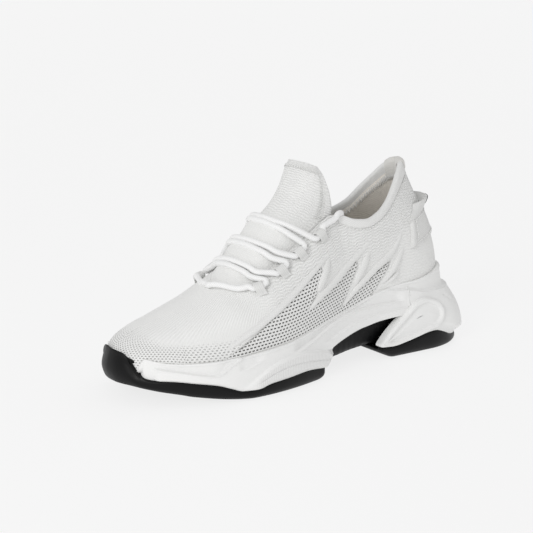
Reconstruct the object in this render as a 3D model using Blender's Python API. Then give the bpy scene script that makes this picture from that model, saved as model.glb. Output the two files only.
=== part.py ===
"""Left running shoe: knit upper on a sculpted foam midsole with rubber outsole pads.

+X points to the toe, +Y to the outer (lateral) side, +Z up, the floor is z = 0. Tables are in millimetres.
"""
import bpy
import bmesh
import math
from mathutils import Vector

MM = 0.001
TOE_END = 170.0          # station number of the toe tip
HEEL_END = -170.0        # station number of the heel tip
TOE_BEND = 105.0         # stations equal x between these two
HEEL_BEND = -110.0
GAP = 0.4                # clearance between neighbouring pieces
PLATE = 4.5              # rubber outsole thickness under the foot
KNIT = 1.6               # knit upper thickness
STROBEL = 1.3
INSOLE = 4.6
TONGUE = 4.2
LACE_RADIUS = 1.5
END_STEP = 7.5           # spacing of the stations round the toe and the heel
MIDDLE_STEP = 10.0       # and along the sides

SOLE_LATERAL = [(149, -6), (147.5, 5), (142, 16), (132, 26), (117, 34.5), (100, 42), (80, 49), (60, 52.2),
                (40, 52.6), (20, 50.3), (0, 46), (-20, 41.2), (-40, 38), (-60, 36.5), (-80, 37), (-100, 38),
                (-118, 37), (-133, 30.5), (-145, 18), (-150.5, 0)]
SOLE_MEDIAL = [(149, -6), (147, -17), (140.5, -29), (129, -40), (112, -47.5), (92, -51.5), (70, -52),
               (48, -49), (28, -43.5), (8, -38.5), (-12, -36), (-34, -35.5), (-56, -36.5), (-78, -38),
               (-100, -38.5), (-118, -36.5), (-133, -30), (-145, -17.5), (-150.5, 0)]
UPPER_LATERAL = [(139.5, -6), (138, 3), (133.5, 12), (125, 21), (113, 29), (97, 37), (79, 43.8), (60, 47.3),
                 (40, 47.8), (20, 45.6), (0, 41.2), (-20, 36.5), (-40, 33.2), (-60, 31.8), (-80, 32.2),
                 (-98, 32.4), (-112, 29.5), (-123, 22.5), (-130.5, 12), (-133, 0)]
UPPER_MEDIAL = [(139.5, -6), (137.5, -15), (132, -24.5), (121, -34), (107, -41.5), (90, -46), (70, -47),
                (48, -44.2), (28, -38.8), (8, -33.8), (-12, -31.3), (-34, -30.8), (-56, -31.8), (-78, -33),
                (-98, -32.8), (-112, -29.5), (-123, -22), (-130.5, -11.5), (-133, 0)]

# Heights by station: underside of the rubber, edge between rubber and foam, top rim of the foam, foot bed.
GROUND_FORE = [(-5, 2.5), (2, 0), (60, 0), (70, 0.8), (83, 2.4), (99, 5), (112, 7.3), (125, 10), (138, 12.5),
               (150, 15), (170, 17)]
GROUND_HEEL = [(-170, 3.5), (-150, 1.5), (-135, 0), (-74, 0), (-66, 3.0), (-60, 6.0)]
EDGE_FORE = [(-5, 8), (5, 10.5), (17, 12), (33, 11), (48, 9.8), (60, 7), (70, 6.8), (78, 9.5), (88, 13),
             (119, 18), (128, 19), (138, 22), (146, 33), (150, 37), (170, 38)]
EDGE_HEEL = [(-170, 7.5), (-145, 5.5), (-132, 7.5), (-120, 12.5), (-112, 15), (-106, 14.5), (-94, 12),
             (-76, 8.8), (-60, 9.4)]
ARCH_TOP = [(-86, 31), (-60, 30.2), (-40, 27.6), (-20, 23), (-6, 18.5)]
ARCH_LOW = [(-86, 11.2), (-60, 11.0), (-50, 10.4), (-40, 10), (-22, 8.7), (-6, 8.5)]
RIM = [(-170, 60), (-135, 60), (-113, 58), (-96, 55.5), (-78, 54), (-62, 51.9), (-34, 44.8), (-5, 39.7),
       (31, 33.7), (54, 31.6), (78, 29.3), (102, 28.2), (120, 29), (129, 29.2), (138, 27.2), (145, 25.4),
       (170, 25.4)]
BED = [(-170, 45), (-120, 45), (-90, 44), (-60, 40.5), (-30, 34), (0, 27), (30, 22), (60, 20), (100, 20.5),
       (120, 22), (140, 22.6), (170, 22.8)]
POD_TOP = [(-13, 12), (-5, 20), (15, 25), (34, 25.4), (54, 21), (71, 8)]
FIN = [(-59.5, 11.2), (-67, 9.9), (-76, 9.9), (-94, 13.2), (-106, 15.9), (-113, 18), (-117.5, 24), (-117, 31),
       (-112, 37.5), (-105, 40.8), (-98, 41.4), (-90, 38.5), (-82, 32), (-72, 24.5), (-64, 17.5)]

# Top edge of the upper by station: x, y, z and the lean of the wall there in degrees (0 is level).
RIDGE = [(66, 66, -2, 66.5, 0), (80, 80, -4, 59.5, 0), (100, 100, -5, 51.5, 0)]
EDGE_LATERAL = [(-170, -104, 0, 141, 72), (-150, -102, 6, 140.5, 72), (-130, -97.5, 11, 138.5, 70),
                (-112, -91.5, 16, 134, 74), (-94, -83.5, 21.5, 127, 78), (-78, -73, 26.5, 116.5, 82),
                (-64, -62, 29.3, 109, 85), (-52, -51, 30, 105.5, 85), (-42, -41, 28.5, 106.5, 82),
                (-34, -33, 25.5, 109.5, 76), (-27, -26, 22.5, 112, 68), (-15, -14, 23.5, 107, 62),
                (3, 3, 25, 97.5, 57), (22, 22, 25, 86, 50), (36, 36, 23.5, 78, 42), (46, 46, 19.5, 73.5, 35),
                (54, 54, 12.5, 71.5, 24), (60, 60, 4, 69.6, 10), (66, 66, -2, 66.5, 0)]
EDGE_MEDIAL = [(-170, -104, 0, 141, 72), (-150, -102.5, -6.5, 139.5, 72), (-130, -99.5, -13, 134.5, 70),
               (-112, -95, -19.5, 127, 74), (-94, -87, -25, 117.5, 78), (-78, -76, -28, 107.5, 82),
               (-64, -62, -29.5, 102.5, 85), (-52, -51, -29.5, 101.5, 85), (-42, -41, -28, 103.5, 82),
               (-34, -33, -25.5, 108, 76), (-27, -26, -22.5, 111.5, 68), (-15, -14, -23.5, 107, 62),
               (3, 3, -25, 97.5, 57), (22, 22, -25, 86, 50), (36, 36, -23.5, 78, 42), (46, 46, -20.5, 73.5, 35),
               (54, 54, -14.5, 71.5, 24), (60, 60, -7, 69.6, 10), (66, 66, -2, 66.5, 0)]
# Tongue: height step, centre x and z, then the x, y and z of its side edge.
TONGUE_LINE = [(0, 72, 59.5, 70, 11, 57.5), (1, 61.5, 65.6, 57, 13.5, 60.5), (2, 53, 74.0, 44, 19.3, 65.6),
               (3, 43.5, 84.5, 32, 23, 72), (4, 33, 94.5, 16, 24, 79.5), (5, 23, 104.5, 2, 23.6, 89),
               (6, 14.5, 112, -12, 22, 97.5),
               (7, 7, 119.5, -24, 20.8, 105), (8, 1, 127, -26.5, 20.6, 114), (9, -4, 135, -24.5, 20.6, 125),
               (10, -8.5, 142.5, -20, 19.3, 137.5), (11, -11.5, 147.5, -17, 15, 144.5)]
TONGUE_FULL = [(0, 1.0), (1, 1.0), (2.4, 0.95), (4, 0.76), (11, 0.74)]   # 1 is an ellipse, less is fuller
HINGE_STEP = 6.35        # tongue height step of the fold line at the top lace row
TONGUE_HINGE = (12.4, 0, 114.9)
INSOLE_HINGE = (136, -5, 23.5)
# Lace loops: station and v of the middle of each, from the toe up.
LOOPS = {1: [(42.5, 0.87), (23.5, 0.9), (5.5, 0.915), (-12.5, 0.9)],
         -1: [(53, 0.86), (38.5, 0.885), (22, 0.91), (2.5, 0.915)]}
LOOP_WIDTH = 7.0
LACE_HEIGHT = 2.95       # of the lace's centre above the knit inside a loop
# Front rows of the lace: height step in the middle of the tongue, then at its medial and lateral ends.
LACE_ROWS = [(1.25, 1.2, 1.25), (2.62, 2.55, 2.65), (2.94, 2.87, 3.0), (3.98, 4.0, 3.92), (4.31, 4.33, 4.3),
             (5.6, 5.75, 5.35), (5.95, 6.1, 5.8)]
# Raised ribs: step along the rib, station and height.
RIB_LINES = [[(0, 84, 34), (1, 68, 40.5), (2, 46, 51), (3, 25, 62.5), (4, 1, 77), (5, -24, 91.5)],
             [(0, 32, 38.5), (1, 21, 46.5), (2, 3, 57.5), (3, -18, 68), (4, -38, 79.5), (5, -58, 93)],
             [(0, -6, 46), (1, -16, 55), (2, -34, 66), (3, -55, 77), (4, -75, 88), (5, -95, 98.5)]]

WHITE_KNIT = (0.87, 0.87, 0.865, 1.0)
WHITE_FOAM = (0.86, 0.86, 0.855, 1.0)
BLACK_RUBBER = (0.022, 0.022, 0.024, 1.0)
GREY_LINING = (0.42, 0.40, 0.37, 1.0)
WHITE_CORD = (0.88, 0.88, 0.88, 1.0)
PALE_FOAM = (0.75, 0.74, 0.70, 1.0)
GREY_BOARD = (0.6, 0.6, 0.58, 1.0)


def smooth(value, low, high):
    """Eased 0 to 1 as value goes from low to high."""
    t = min(1.0, max(0.0, (value - low) / (high - low)))
    return t * t * (3 - 2 * t)


def mix(a, b, t):
    return a + (b - a) * t


def table(rows, at):
    """Monotone cubic through rows of (station, value...), returned as a list of values."""
    rows = sorted(rows)
    at = min(max(at, rows[0][0]), rows[-1][0])
    i = 0
    while i < len(rows) - 2 and at > rows[i + 1][0]:
        i += 1
    x0 = rows[i][0]
    x1 = rows[i + 1][0]
    t = (at - x0) / (x1 - x0)
    out = []
    for k in range(1, len(rows[0])):
        slopes = []
        for j in (i, i + 1):
            if j == 0 or j == len(rows) - 1:
                a = min(max(j - 1, 0), len(rows) - 2)
                slopes.append((rows[a + 1][k] - rows[a][k]) / (rows[a + 1][0] - rows[a][0]))
                continue
            before = (rows[j][k] - rows[j - 1][k]) / (rows[j][0] - rows[j - 1][0])
            after = (rows[j + 1][k] - rows[j][k]) / (rows[j + 1][0] - rows[j][0])
            slopes.append(0.0 if before * after <= 0 else 2 * before * after / (before + after))
        h = x1 - x0
        a = (2 * t ** 3 - 3 * t ** 2 + 1) * rows[i][k] + (t ** 3 - 2 * t ** 2 + t) * h * slopes[0]
        b = (-2 * t ** 3 + 3 * t ** 2) * rows[i + 1][k] + (t ** 3 - t ** 2) * h * slopes[1]
        out.append(a + b)
    return out


def height(rows, station):
    return table(rows, station)[0]


def outline(points):
    """Dense (station, x, y) samples of a half outline that runs from the toe tip to the heel tip."""
    dense = []
    last = len(points) - 1
    for i in range(last):
        p = [Vector(points[min(max(i + k, 0), last)]) for k in (-1, 0, 1, 2)]
        if i == 0:
            p[0] = p[1] + Vector((0, p[1].y - p[2].y))
        if i == last - 1:
            p[3] = p[2] + Vector((0, p[2].y - p[1].y))
        for n in range(12):
            t = n / 12
            a = p[1] * 2 + (p[2] - p[0]) * t
            b = (p[0] * 2 - p[1] * 5 + p[2] * 4 - p[3]) * t * t
            c = (p[1] * 3 - p[0] - p[2] * 3 + p[3]) * t ** 3
            dense.append((a + b + c) / 2)
    dense.append(Vector(points[last]))
    run = [0.0]
    for a, b in zip(dense, dense[1:]):
        run.append(run[-1] + (b - a).length)
    toe = next(r for r, p in zip(run, dense) if p.x <= TOE_BEND)
    heel = next(r for r, p in zip(run, dense) if p.x <= HEEL_BEND)
    rows = []
    for r, p in zip(run, dense):
        station = p.x
        if r < toe:
            station = TOE_END - (TOE_END - TOE_BEND) * r / toe
        if r > heel:
            station = HEEL_BEND + (HEEL_END - HEEL_BEND) * (r - heel) / (run[-1] - heel)
        rows.append((station, p.x, p.y))
    return rows[::-1]


def look_up(rows, station):
    """Straight interpolation in a dense outline."""
    low = 0
    high = len(rows) - 1
    while high - low > 1:
        middle = (low + high) // 2
        if rows[middle][0] <= station:
            low = middle
        else:
            high = middle
    a = rows[low]
    b = rows[high]
    t = min(1.0, max(0.0, (station - a[0]) / (b[0] - a[0])))
    return Vector((mix(a[1], b[1], t), mix(a[2], b[2], t)))


SOLE = {1: outline(SOLE_LATERAL), -1: outline(SOLE_MEDIAL)}
UPPER = {1: outline(UPPER_LATERAL), -1: outline(UPPER_MEDIAL)}


def plan(station, side, inset):
    """Plan point this far in from the widest sole outline, towards the upper's outline."""
    a = look_up(SOLE[side], station)
    b = look_up(UPPER[side], station)
    return a + (b - a) * (inset / (b - a).length)


def depth(station, side):
    return (look_up(SOLE[side], station) - look_up(UPPER[side], station)).length


def at(station, side, inset, z):
    p = plan(station, side, inset)
    return Vector((p.x, p.y, z))


def even(first, last, step):
    count = max(1, round(abs(last - first) / step))
    return [first + (last - first) * i / count for i in range(count + 1)]


def stations(first, last):
    """Stations from first to last; between them they are the same for every piece."""
    shared = even(HEEL_END, HEEL_BEND, END_STEP) + even(HEEL_BEND, TOE_BEND, MIDDLE_STEP)[1:]
    shared += even(TOE_BEND, TOE_END, END_STEP)[1:]
    low = min(first, last)
    high = max(first, last)
    found = [low] + [s for s in shared if low + 1.2 < s < high - 1.2] + [high]
    return found if first < last else found[::-1]


def round_shoe(front, back):
    """(station, side) pairs from the lateral back station round the toe to the medial one."""
    lateral = [(s, 1) for s in stations(back, front)]
    return lateral + [(s, -1) for s, _ in reversed(lateral[:-1])]


def round_heel(front, back=HEEL_END):
    """(station, side) pairs from the lateral front station round the heel to the medial one."""
    lateral = [(s, 1) for s in stations(front, back)]
    return lateral + [(s, -1) for s, _ in reversed(lateral[:-1])]


def material(name, colour, roughness, metallic=0.0):
    found = bpy.data.materials.get(name)
    if found:
        return found
    made = bpy.data.materials.new(name)
    made.use_nodes = True
    shader = made.node_tree.nodes["Principled BSDF"]
    shader.inputs["Base Color"].default_value = colour
    shader.inputs["Roughness"].default_value = roughness
    shader.inputs["Metallic"].default_value = metallic
    made.diffuse_color = colour
    return made


def finish(name, bm, look, origin=(0, 0, 0), smooth_shade=True):
    """Makes a named object from a bmesh given in millimetres, with its origin at the given point."""
    bmesh.ops.remove_doubles(bm, verts=bm.verts, dist=0.004)
    bmesh.ops.dissolve_degenerate(bm, edges=bm.edges, dist=0.004)
    loose = [v for v in bm.verts if not v.link_faces]
    bmesh.ops.delete(bm, geom=loose, context="VERTS")
    bmesh.ops.recalc_face_normals(bm, faces=bm.faces)
    start = Vector(origin)
    for v in bm.verts:
        v.co = (v.co - start) * MM
    for f in bm.faces:
        f.smooth = smooth_shade
    mesh = bpy.data.meshes.new(name)
    bm.to_mesh(mesh)
    bm.free()
    mesh.materials.append(material(*look))
    made = bpy.data.objects.new(name, mesh)
    bpy.context.scene.collection.objects.link(made)
    made.location = start * MM
    return made


def skin(bm, rows, closed=False):
    """Quads between rows of vertices; closed joins each row's ends."""
    for a, b in zip(rows, rows[1:]):
        count = len(a) if closed else len(a) - 1
        for i in range(count):
            j = (i + 1) % len(a)
            corners = [a[i], a[j], b[j], b[i]]
            distinct = [v for k, v in enumerate(corners) if v not in corners[:k]]
            if len(distinct) > 2:
                bm.faces.new(distinct)


def add_row(bm, points):
    return [bm.verts.new(p) for p in points]


def ladder(bm, row, columns):
    """Fills between the two halves of a row that turns round at its middle; returns the open end's chain."""
    half = len(row) // 2
    rungs = []
    for i in range(half + 1):
        a = row[i]
        b = row[len(row) - 1 - i]
        if a is b:
            rungs.append([a] * (columns + 2))
            continue
        rung = [a]
        for k in range(1, columns + 1):
            t = k / (columns + 1)
            rung.append(bm.verts.new(a.co.lerp(b.co, t)))
        rungs.append(rung + [b])
    skin(bm, rungs)
    return rungs[0]


def lofted(sections):
    """Closed body through closed sections, with both ends capped."""
    bm = bmesh.new()
    rows = [add_row(bm, s) for s in sections]
    skin(bm, rows, closed=True)
    for end in (rows[0], rows[-1]):
        cap = bm.faces.new(end)
        bmesh.ops.triangulate(bm, faces=[cap])
    return bm


def rubber_pad(name, path, ground, edge, lip):
    """Rubber pad with a low wall round it; its rows run along path, which turns round at the sole's tip."""
    bm = bmesh.new()
    rows = []
    levels = ((5.2, "plate"), (5.0, "in"), (4.6, "lip"), (4.4, "rise"), (4.2, "top"), (1.3, "top"),
              (0.3, "upper"), (0.0, "middle"), (2.2, "low"), (5.0, "ground"))
    for inset, level in levels:
        points = []
        for s, side in path:
            low = height(ground, s)
            top = height(edge, s)
            plate = low + min(PLATE, top - low - 0.8)
            toe = smooth(s, 140, 147) if lip else 0.0
            deep = depth(s, side)
            z = {"plate": plate, "in": mix(top - 0.55, 28.1, toe), "lip": mix(top - 0.3, 28.5, toe),
                 "rise": mix(top - 0.15, 33.0, toe), "top": top, "upper": mix(low, top, 0.8),
                 "middle": mix(low, top, 0.45), "low": mix(low, top, 0.1), "ground": low}[level]
            move = inset
            if level == "lip":
                move = mix(inset, deep - 0.9, toe)
            if level == "upper":
                move = mix(inset, 2.6, toe)
            point = at(s, side, move, z)
            if level in ("rise", "top") and toe > 0:
                v = level_of(s, side, z)
                point = point.lerp(upper_at(s, side, v, -0.6 if inset > 2 else -3.4), toe)
            points.append(point)
        rows.append(add_row(bm, points))
    skin(bm, rows)
    top_end = ladder(bm, rows[0], 3)
    low_end = ladder(bm, rows[-1], 3)
    open_end = [r[0] for r in rows] + low_end[1:-1] + [r[-1] for r in reversed(rows)] + top_end[-2:0:-1]
    cap = bm.faces.new(open_end)
    bmesh.ops.triangulate(bm, faces=[cap])
    return finish(name, bm, ("black_rubber", BLACK_RUBBER, 0.55))


def foam_underside(s):
    """Height of the midsole's underside and of its visible lower edge."""
    if s >= -3:
        low = height(GROUND_FORE, s)
        edge = height(EDGE_FORE, s)
        under = low + min(PLATE, edge - low - 0.8) + GAP
        return under, min(edge + GAP, height(RIM, s) - 0.9)
    if s <= -87:
        low = height(GROUND_HEEL, s)
        edge = height(EDGE_HEEL, s)
        return low + min(PLATE, edge - low - 0.8) + GAP, edge + GAP
    arch = height(ARCH_TOP, s)
    return arch, arch + 0.3


def pod_bulge(s, z):
    """Outward bulge of the outrigger at the ball of the foot."""
    if s < -13 or s > 71:
        return 0.0
    top = height(POD_TOP, s)
    low = 7.0
    if top <= low + 1:
        return 0.0
    t = (z - low) / (top - low)
    return 2.2 * math.sqrt(max(0.0, 1 - (2 * t - 1) ** 2)) if 0 < t < 1 else 0.0


def midsole():
    """Foam midsole: cupped foot bed inside a sculpted wall, with a leaf-shaped pod beside the heel."""
    bm = bmesh.new()
    steps = stations(TOE_END, -3.0) + stations(-3.4, -86.6) + stations(-87.0, HEEL_END)
    sides = [(s, 1) for s in steps]
    ring = sides + [(s, -1) for s, _ in reversed(sides[1:-1])]
    # Each level of the wall: share of the wall's height and share of its lean.
    wall = ((0.0, 0.0), (0.1, 0.0), (0.22, 0.06), (0.37, 0.25), (0.5, 0.42), (0.63, 0.62), (0.77, 0.93),
            (0.9, 0.98), (1.0, 1.0))
    rows = []
    for level in ("under", "step", *range(len(wall)), "inner", "half", "bed"):
        points = []
        for s, side in ring:
            under, low = foam_underside(s)
            arch = -87 < s < -3
            toe = smooth(s, 124, 133)
            deep = depth(s, side)
            rim = height(RIM, s)
            lean = deep - 2.6
            tuck = mix(0.9, 5.6, toe)
            if level == "under":
                points.append(at(s, side, 8.6 if arch else 5.8, under))
            elif level == "step":
                points.append(at(s, side, 4.5 if arch else 5.6, under + 0.1 if arch else low))
            elif level in ("inner", "half", "bed"):
                v = {"inner": 1, "half": 0.5, "bed": 0}[level] * level_of(s, side, rim)
                p = upper_at(s, side, v, -0.45)
                p.z = {"inner": rim - 0.3, "half": p.z, "bed": height(BED, s)}[level]
                points.append(p)
            else:
                share, tilt = wall[level]
                z = mix(low + 0.02, rim, share)
                move = max(lean * tilt, 0.0) + tuck * (1 - share) ** 6
                move = mix(move - pod_bulge(s, z), max(move, 5.6), toe)
                points.append(at(s, side, min(move, deep - 1.2), z))
        rows.append(add_row(bm, points))
    skin(bm, rows, closed=True)
    half = len(sides) - 1
    for row in (rows[0], rows[-1]):
        turned = row[half:] + row[:half + 1]
        ladder_closed(bm, turned, half)
    body = finish("midsole", bm, ("white_eva_foam", WHITE_FOAM, 0.6))
    for side in (1, -1):
        fin = heel_fin(side)
        join = body.modifiers.new("fin", "BOOLEAN")
        join.operation = "UNION"
        join.solver = "EXACT"
        join.object = fin
        fin.hide_render = True
        fin.display_type = "WIRE"
    return body


def ladder_closed(bm, row, half):
    """Fills a closed ring listed from the heel tip round to the heel tip again, with three middle columns."""
    rungs = []
    for i in range(half + 1):
        a = row[i]
        b = row[len(row) - 1 - i]
        if a is b:
            rungs.append([a] * 5)
            continue
        rungs.append([a] + [bm.verts.new(a.co.lerp(b.co, k / 4)) for k in (1, 2, 3)] + [b])
    skin(bm, rungs)


def heel_fin(side):
    """Leaf-shaped pod beside the heel, used to shape the midsole."""
    bm = bmesh.new()
    count = len(FIN)
    middle = Vector((sum(p[0] for p in FIN) / count, sum(p[1] for p in FIN) / count))
    rows = []
    for shrink, inset in ((0.99, 6.4), (1.0, 0.6), (0.95, -0.9), (0.84, -1.7), (0.5, -1.9)):
        points = []
        for p in FIN:
            q = middle + (Vector(p) - middle) * shrink
            points.append(at(q.x, side, inset, q.y))
        rows.append(add_row(bm, points))
    skin(bm, rows, closed=True)
    for end in (rows[0], rows[-1]):
        cap = bm.faces.new(end)
        bmesh.ops.triangulate(bm, faces=[cap])
    name = "fin_shape_lateral" if side > 0 else "fin_shape_medial"
    return finish(name, bm, ("white_eva_foam", WHITE_FOAM, 0.6))


def arch_shank():
    """Black ribbed block that fills the arch between the two rubber pads."""
    sections = []
    for n, s in enumerate(even(-6.5, -84, 2.9)):
        rib = 0.0 if n % 2 else 0.7
        high = height(ARCH_TOP, s) - GAP
        low = height(ARCH_LOW, s)
        section = []
        for side, order in ((1, 1), (-1, -1)):
            chain = [(9.6 + rib, high), (8.8 + rib, mix(low, high, 0.7)), (8.8 + rib, mix(low, high, 0.35)),
                     (10.2 + rib, low)]
            section += [at(s, side, inset, z) for inset, z in chain[::order]]
        sections.append(section)
    look = ("black_arch_rubber", BLACK_RUBBER, 0.5)
    return finish("arch_shank", lofted(sections), look, smooth_shade=False)


def slab(name, drop, thick, inset_fore, inset_heel, look, origin=(0, 0, 0)):
    """Flat piece that follows the foot bed, this far above it."""
    sides = [(s, 1) for s in stations(TOE_END, HEEL_END)]
    ring = sides + [(s, -1) for s, _ in reversed(sides[1:-1])]
    bm = bmesh.new()
    rows = []
    for lift, extra in ((0.0, 0.3), (thick * 0.3, 0.0), (thick * 0.8, 0.0), (thick, 0.4)):
        points = []
        for s, side in ring:
            inset = depth(s, side) + mix(inset_fore, inset_heel, smooth(-s, 40, 80)) + extra
            points.append(at(s, side, inset, height(BED, s) + drop + lift))
        rows.append(add_row(bm, points))
    skin(bm, rows, closed=True)
    half = len(sides) - 1
    for row in (rows[0], rows[-1]):
        ladder_closed(bm, row[half:] + row[:half + 1], half)
    return finish(name, bm, look, origin)


def top_edge(s, side):
    """Top of the upper at a station: the ridge over the toes, the throat or the collar further back."""
    if s >= 66:
        return table(RIDGE, min(s, 100))
    return table(EDGE_LATERAL if side > 0 else EDGE_MEDIAL, s)


def upper_point(s, side, v):
    """Outer surface of the upper: v runs from the foot bed (0) to the top edge (1)."""
    p = look_up(UPPER[side], s)
    start = Vector((p.x, p.y, height(BED, s) + 0.6))
    x, y, z, lean = top_edge(s, side)
    end = Vector((x, y, z))
    flat = Vector((end.x - start.x, end.y - start.y, 0)).normalized()
    span = (end - start).length
    slope = -0.44 * smooth(s, 58, 72)
    angle = math.radians(lean)
    way = flat * math.cos(angle) + Vector((0, 0, math.sin(angle) + slope * flat.x))
    way.normalize()
    bulge = mix(2.2, 7.5, smooth(-s, 105, 160)) + 2.0 * smooth(-s, -30, 20) * smooth(s, -100, -40)
    rise = mix(0.44, 0.36, smooth(-s, 20, 60))
    one = start + Vector((0, 0, span * rise)) - flat * bulge
    reach = mix(0.46, 0.3, smooth(-s, -10, 30))
    if side < 0:
        reach -= 0.13 * smooth(s, 48, 75)
    two = end - way * span * reach
    w = 1 - v
    return start * w ** 3 + one * 3 * w * w * v + two * 3 * w * v * v + end * v ** 3


def level_of(s, side, z):
    """v at which the upper's surface reaches this height."""
    low = 0.0
    high = 0.9
    for _ in range(18):
        middle = (low + high) / 2
        if upper_point(s, side, middle).z < z:
            low = middle
        else:
            high = middle
    return low


def upper_normal(s, side, v):
    """Outward direction of the upper's surface."""
    if v > 0.995 and s >= 65.9:
        ahead = min(max(s, 67), 100)
        slope = top_edge(ahead, 1)[2] - top_edge(ahead - 1, 1)[2]
        return Vector((-slope, 0, 1)).normalized()
    low = max(v - 0.01, 0.0)
    high = min(v + 0.01, 1.0)
    back = max(s - 0.6, HEEL_END)
    ahead = min(s + 0.6, TOE_END)
    up = upper_point(s, side, high) - upper_point(s, side, low)
    along = upper_point(ahead, side, min(v, 0.98)) - upper_point(back, side, min(v, 0.98))
    if s > TOE_END - 0.5 or s < HEEL_END + 0.5:
        along = Vector((0, -side if s > 0 else side, 0))
    n = along.cross(up) * side
    return -n.normalized() if n.length > 0 else Vector((0, 0, 1))


def upper_at(s, side, v, inward):
    v0 = min(v, 1.0)
    p = upper_point(s, side, v0) - upper_normal(s, side, v0) * inward
    if v > 1:
        tip = upper_point(s, side, 1.0) - upper_point(s, side, 0.99)
        p += tip * ((v - 1) * 100)
    return p


def grid_shell(name, outer, inner, look, origin=(0, 0, 0)):
    """Closed shell between two equal grids of points."""
    bm = bmesh.new()
    a = [add_row(bm, r) for r in outer]
    b = [add_row(bm, r) for r in inner]
    skin(bm, a)
    skin(bm, b)
    skin(bm, [[r[0] for r in a], [r[0] for r in b]])
    skin(bm, [[r[-1] for r in a], [r[-1] for r in b]])
    skin(bm, [a[0], b[0]])
    skin(bm, [a[-1], b[-1]])
    return finish(name, bm, look, origin)


def panel(name, path, span, inward, thick, look, count):
    """Shell between two levels of v along path, this far inside the upper's surface."""
    outer = []
    inner = []
    for s, side in path:
        levels = [mix(span[0], span[1], k / count) for k in range(count + 1)]
        outer.append([upper_at(s, side, v, inward(v)) for v in levels])
        inner.append([upper_at(s, side, v, inward(v) + thick) for v in levels])
    return grid_shell(name, outer, inner, look)


def vamp():
    """Knit over the toes: its two halves meet on the ridge."""
    path = round_shoe(TOE_END, 66.2)
    bm = bmesh.new()
    count = 8
    grids = []
    for inward in (0.0, KNIT):
        grid = []
        for s, side in path:
            grid.append(add_row(bm, [upper_at(s, side, k / count, inward) for k in range(count + 1)]))
        grids.append(grid)
        skin(bm, grid)
    a, b = grids
    skin(bm, [[r[0] for r in a], [r[0] for r in b]])
    skin(bm, [a[0], b[0]])
    skin(bm, [a[-1], b[-1]])
    return finish("vamp", bm, ("white_knit", WHITE_KNIT, 0.85))


def quarter(side):
    """Knit side panel from the throat to the heel seam."""
    name = "quarter_lateral" if side > 0 else "quarter_medial"
    throat = [61.0, 51.3]
    outer = []
    inner = []
    for s in sorted(throat + stations(HEEL_END + 1.5, 65.6)):
        high = mix(1.0, 0.955, smooth(-s, 21, 30))
        levels = [high * k / 10 for k in range(11)]
        outer.append([upper_at(s, side, v, 0.0) for v in levels])
        inner.append([upper_at(s, side, v, KNIT) for v in levels])
    return grid_shell(name, outer, inner, ("white_knit", WHITE_KNIT, 0.85))


def section_strip(name, path, section, look):
    """Sweeps a closed section of (v, inward) pairs along the upper's top edge."""
    sections = []
    for s, side in path:
        sections.append([upper_at(s, side, v, inward) for v, inward in section])
    return finish(name, lofted(sections), look)


def rib_place(line, side, t):
    """Station and v at a share t of a rib's line."""
    s, z = table(line, t * line[-1][0])
    return s, level_of(s, side, z)


def rib(name, side, line, look):
    """Raised padded rib on the outside of a quarter."""
    sections = []
    count = 14
    for i in range(count + 1):
        t = i / count
        s, v = rib_place(line, side, t)
        s2, v2 = rib_place(line, side, min(t + 0.02, 1.0))
        s1, v1 = rib_place(line, side, max(t - 0.02, 0.0))
        normal = upper_normal(s, side, v)
        along = (upper_point(s2, side, v2) - upper_point(s1, side, v1)).normalized()
        across = normal.cross(along).normalized()
        middle = upper_point(s, side, v) + normal * 0.3
        size = math.sin(math.pi * min(max(t, 0.03), 0.97)) ** 0.35
        ring = [(-2.1, 0.0), (-1.6, 0.9), (-0.6, 1.5), (0.6, 1.5), (1.6, 0.9), (2.1, 0.0)]
        sections.append([middle + across * a * size + normal * (b * size) for a, b in ring])
    return finish(name, lofted(sections), look)


def heel_patch():
    """Stitched patch across the back of the heel, under the pull loop."""
    outer = []
    inner = []
    for k in range(6):
        v = mix(0.39, 0.585, k / 5)
        wide = mix(76, 69, k / 5)
        line = [(HEEL_END + wide * abs(c) / 12, 1 if c >= 0 else -1) for c in range(12, -13, -1)]
        outer.append([upper_at(s, side, v, -1.6) for s, side in line])
        inner.append([upper_at(s, side, v, -0.35) for s, side in line])
    return grid_shell("heel_patch", outer, inner, ("white_webbing", WHITE_KNIT, 0.75))


def loop_grid(lift):
    """Points of the pull loop's face, this far off its inner face."""
    widths = [(0, 66), (0.15, 44), (0.35, 25), (0.6, 14), (1, 11.5)]
    rows = []
    for k in range(12):
        t = k / 11
        v = mix(0.6, 0.8, t)
        bow = 11.5 * math.sin(math.pi * t) ** 0.85
        wide = height(widths, t)
        row = []
        for c in range(6, -7, -1):
            s = HEEL_END + wide * abs(c) / 6
            hug = mix(0.97, 0.0, smooth(t, 0.25, 0.62)) * (abs(c) / 6) ** 2
            out = 0.4 + lift + bow * (1 - hug)
            row.append(upper_at(s, 1 if c >= 0 else -1, v, -out))
        rows.append(row)
    return rows


def pull_loop():
    """Webbing finger loop, stitched above the patch and under the heel tab."""
    return grid_shell("pull_loop", loop_grid(1.3), loop_grid(0.0), ("white_webbing", WHITE_KNIT, 0.75))


def loop_label():
    """Small plain dark label on the outside of the pull loop."""
    outer = [r[4:9] for r in loop_grid(2.3)[6:9]]
    inner = [r[4:9] for r in loop_grid(1.65)[6:9]]
    return grid_shell("loop_label", outer, inner, ("black_label", BLACK_RUBBER, 0.6))


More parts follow.
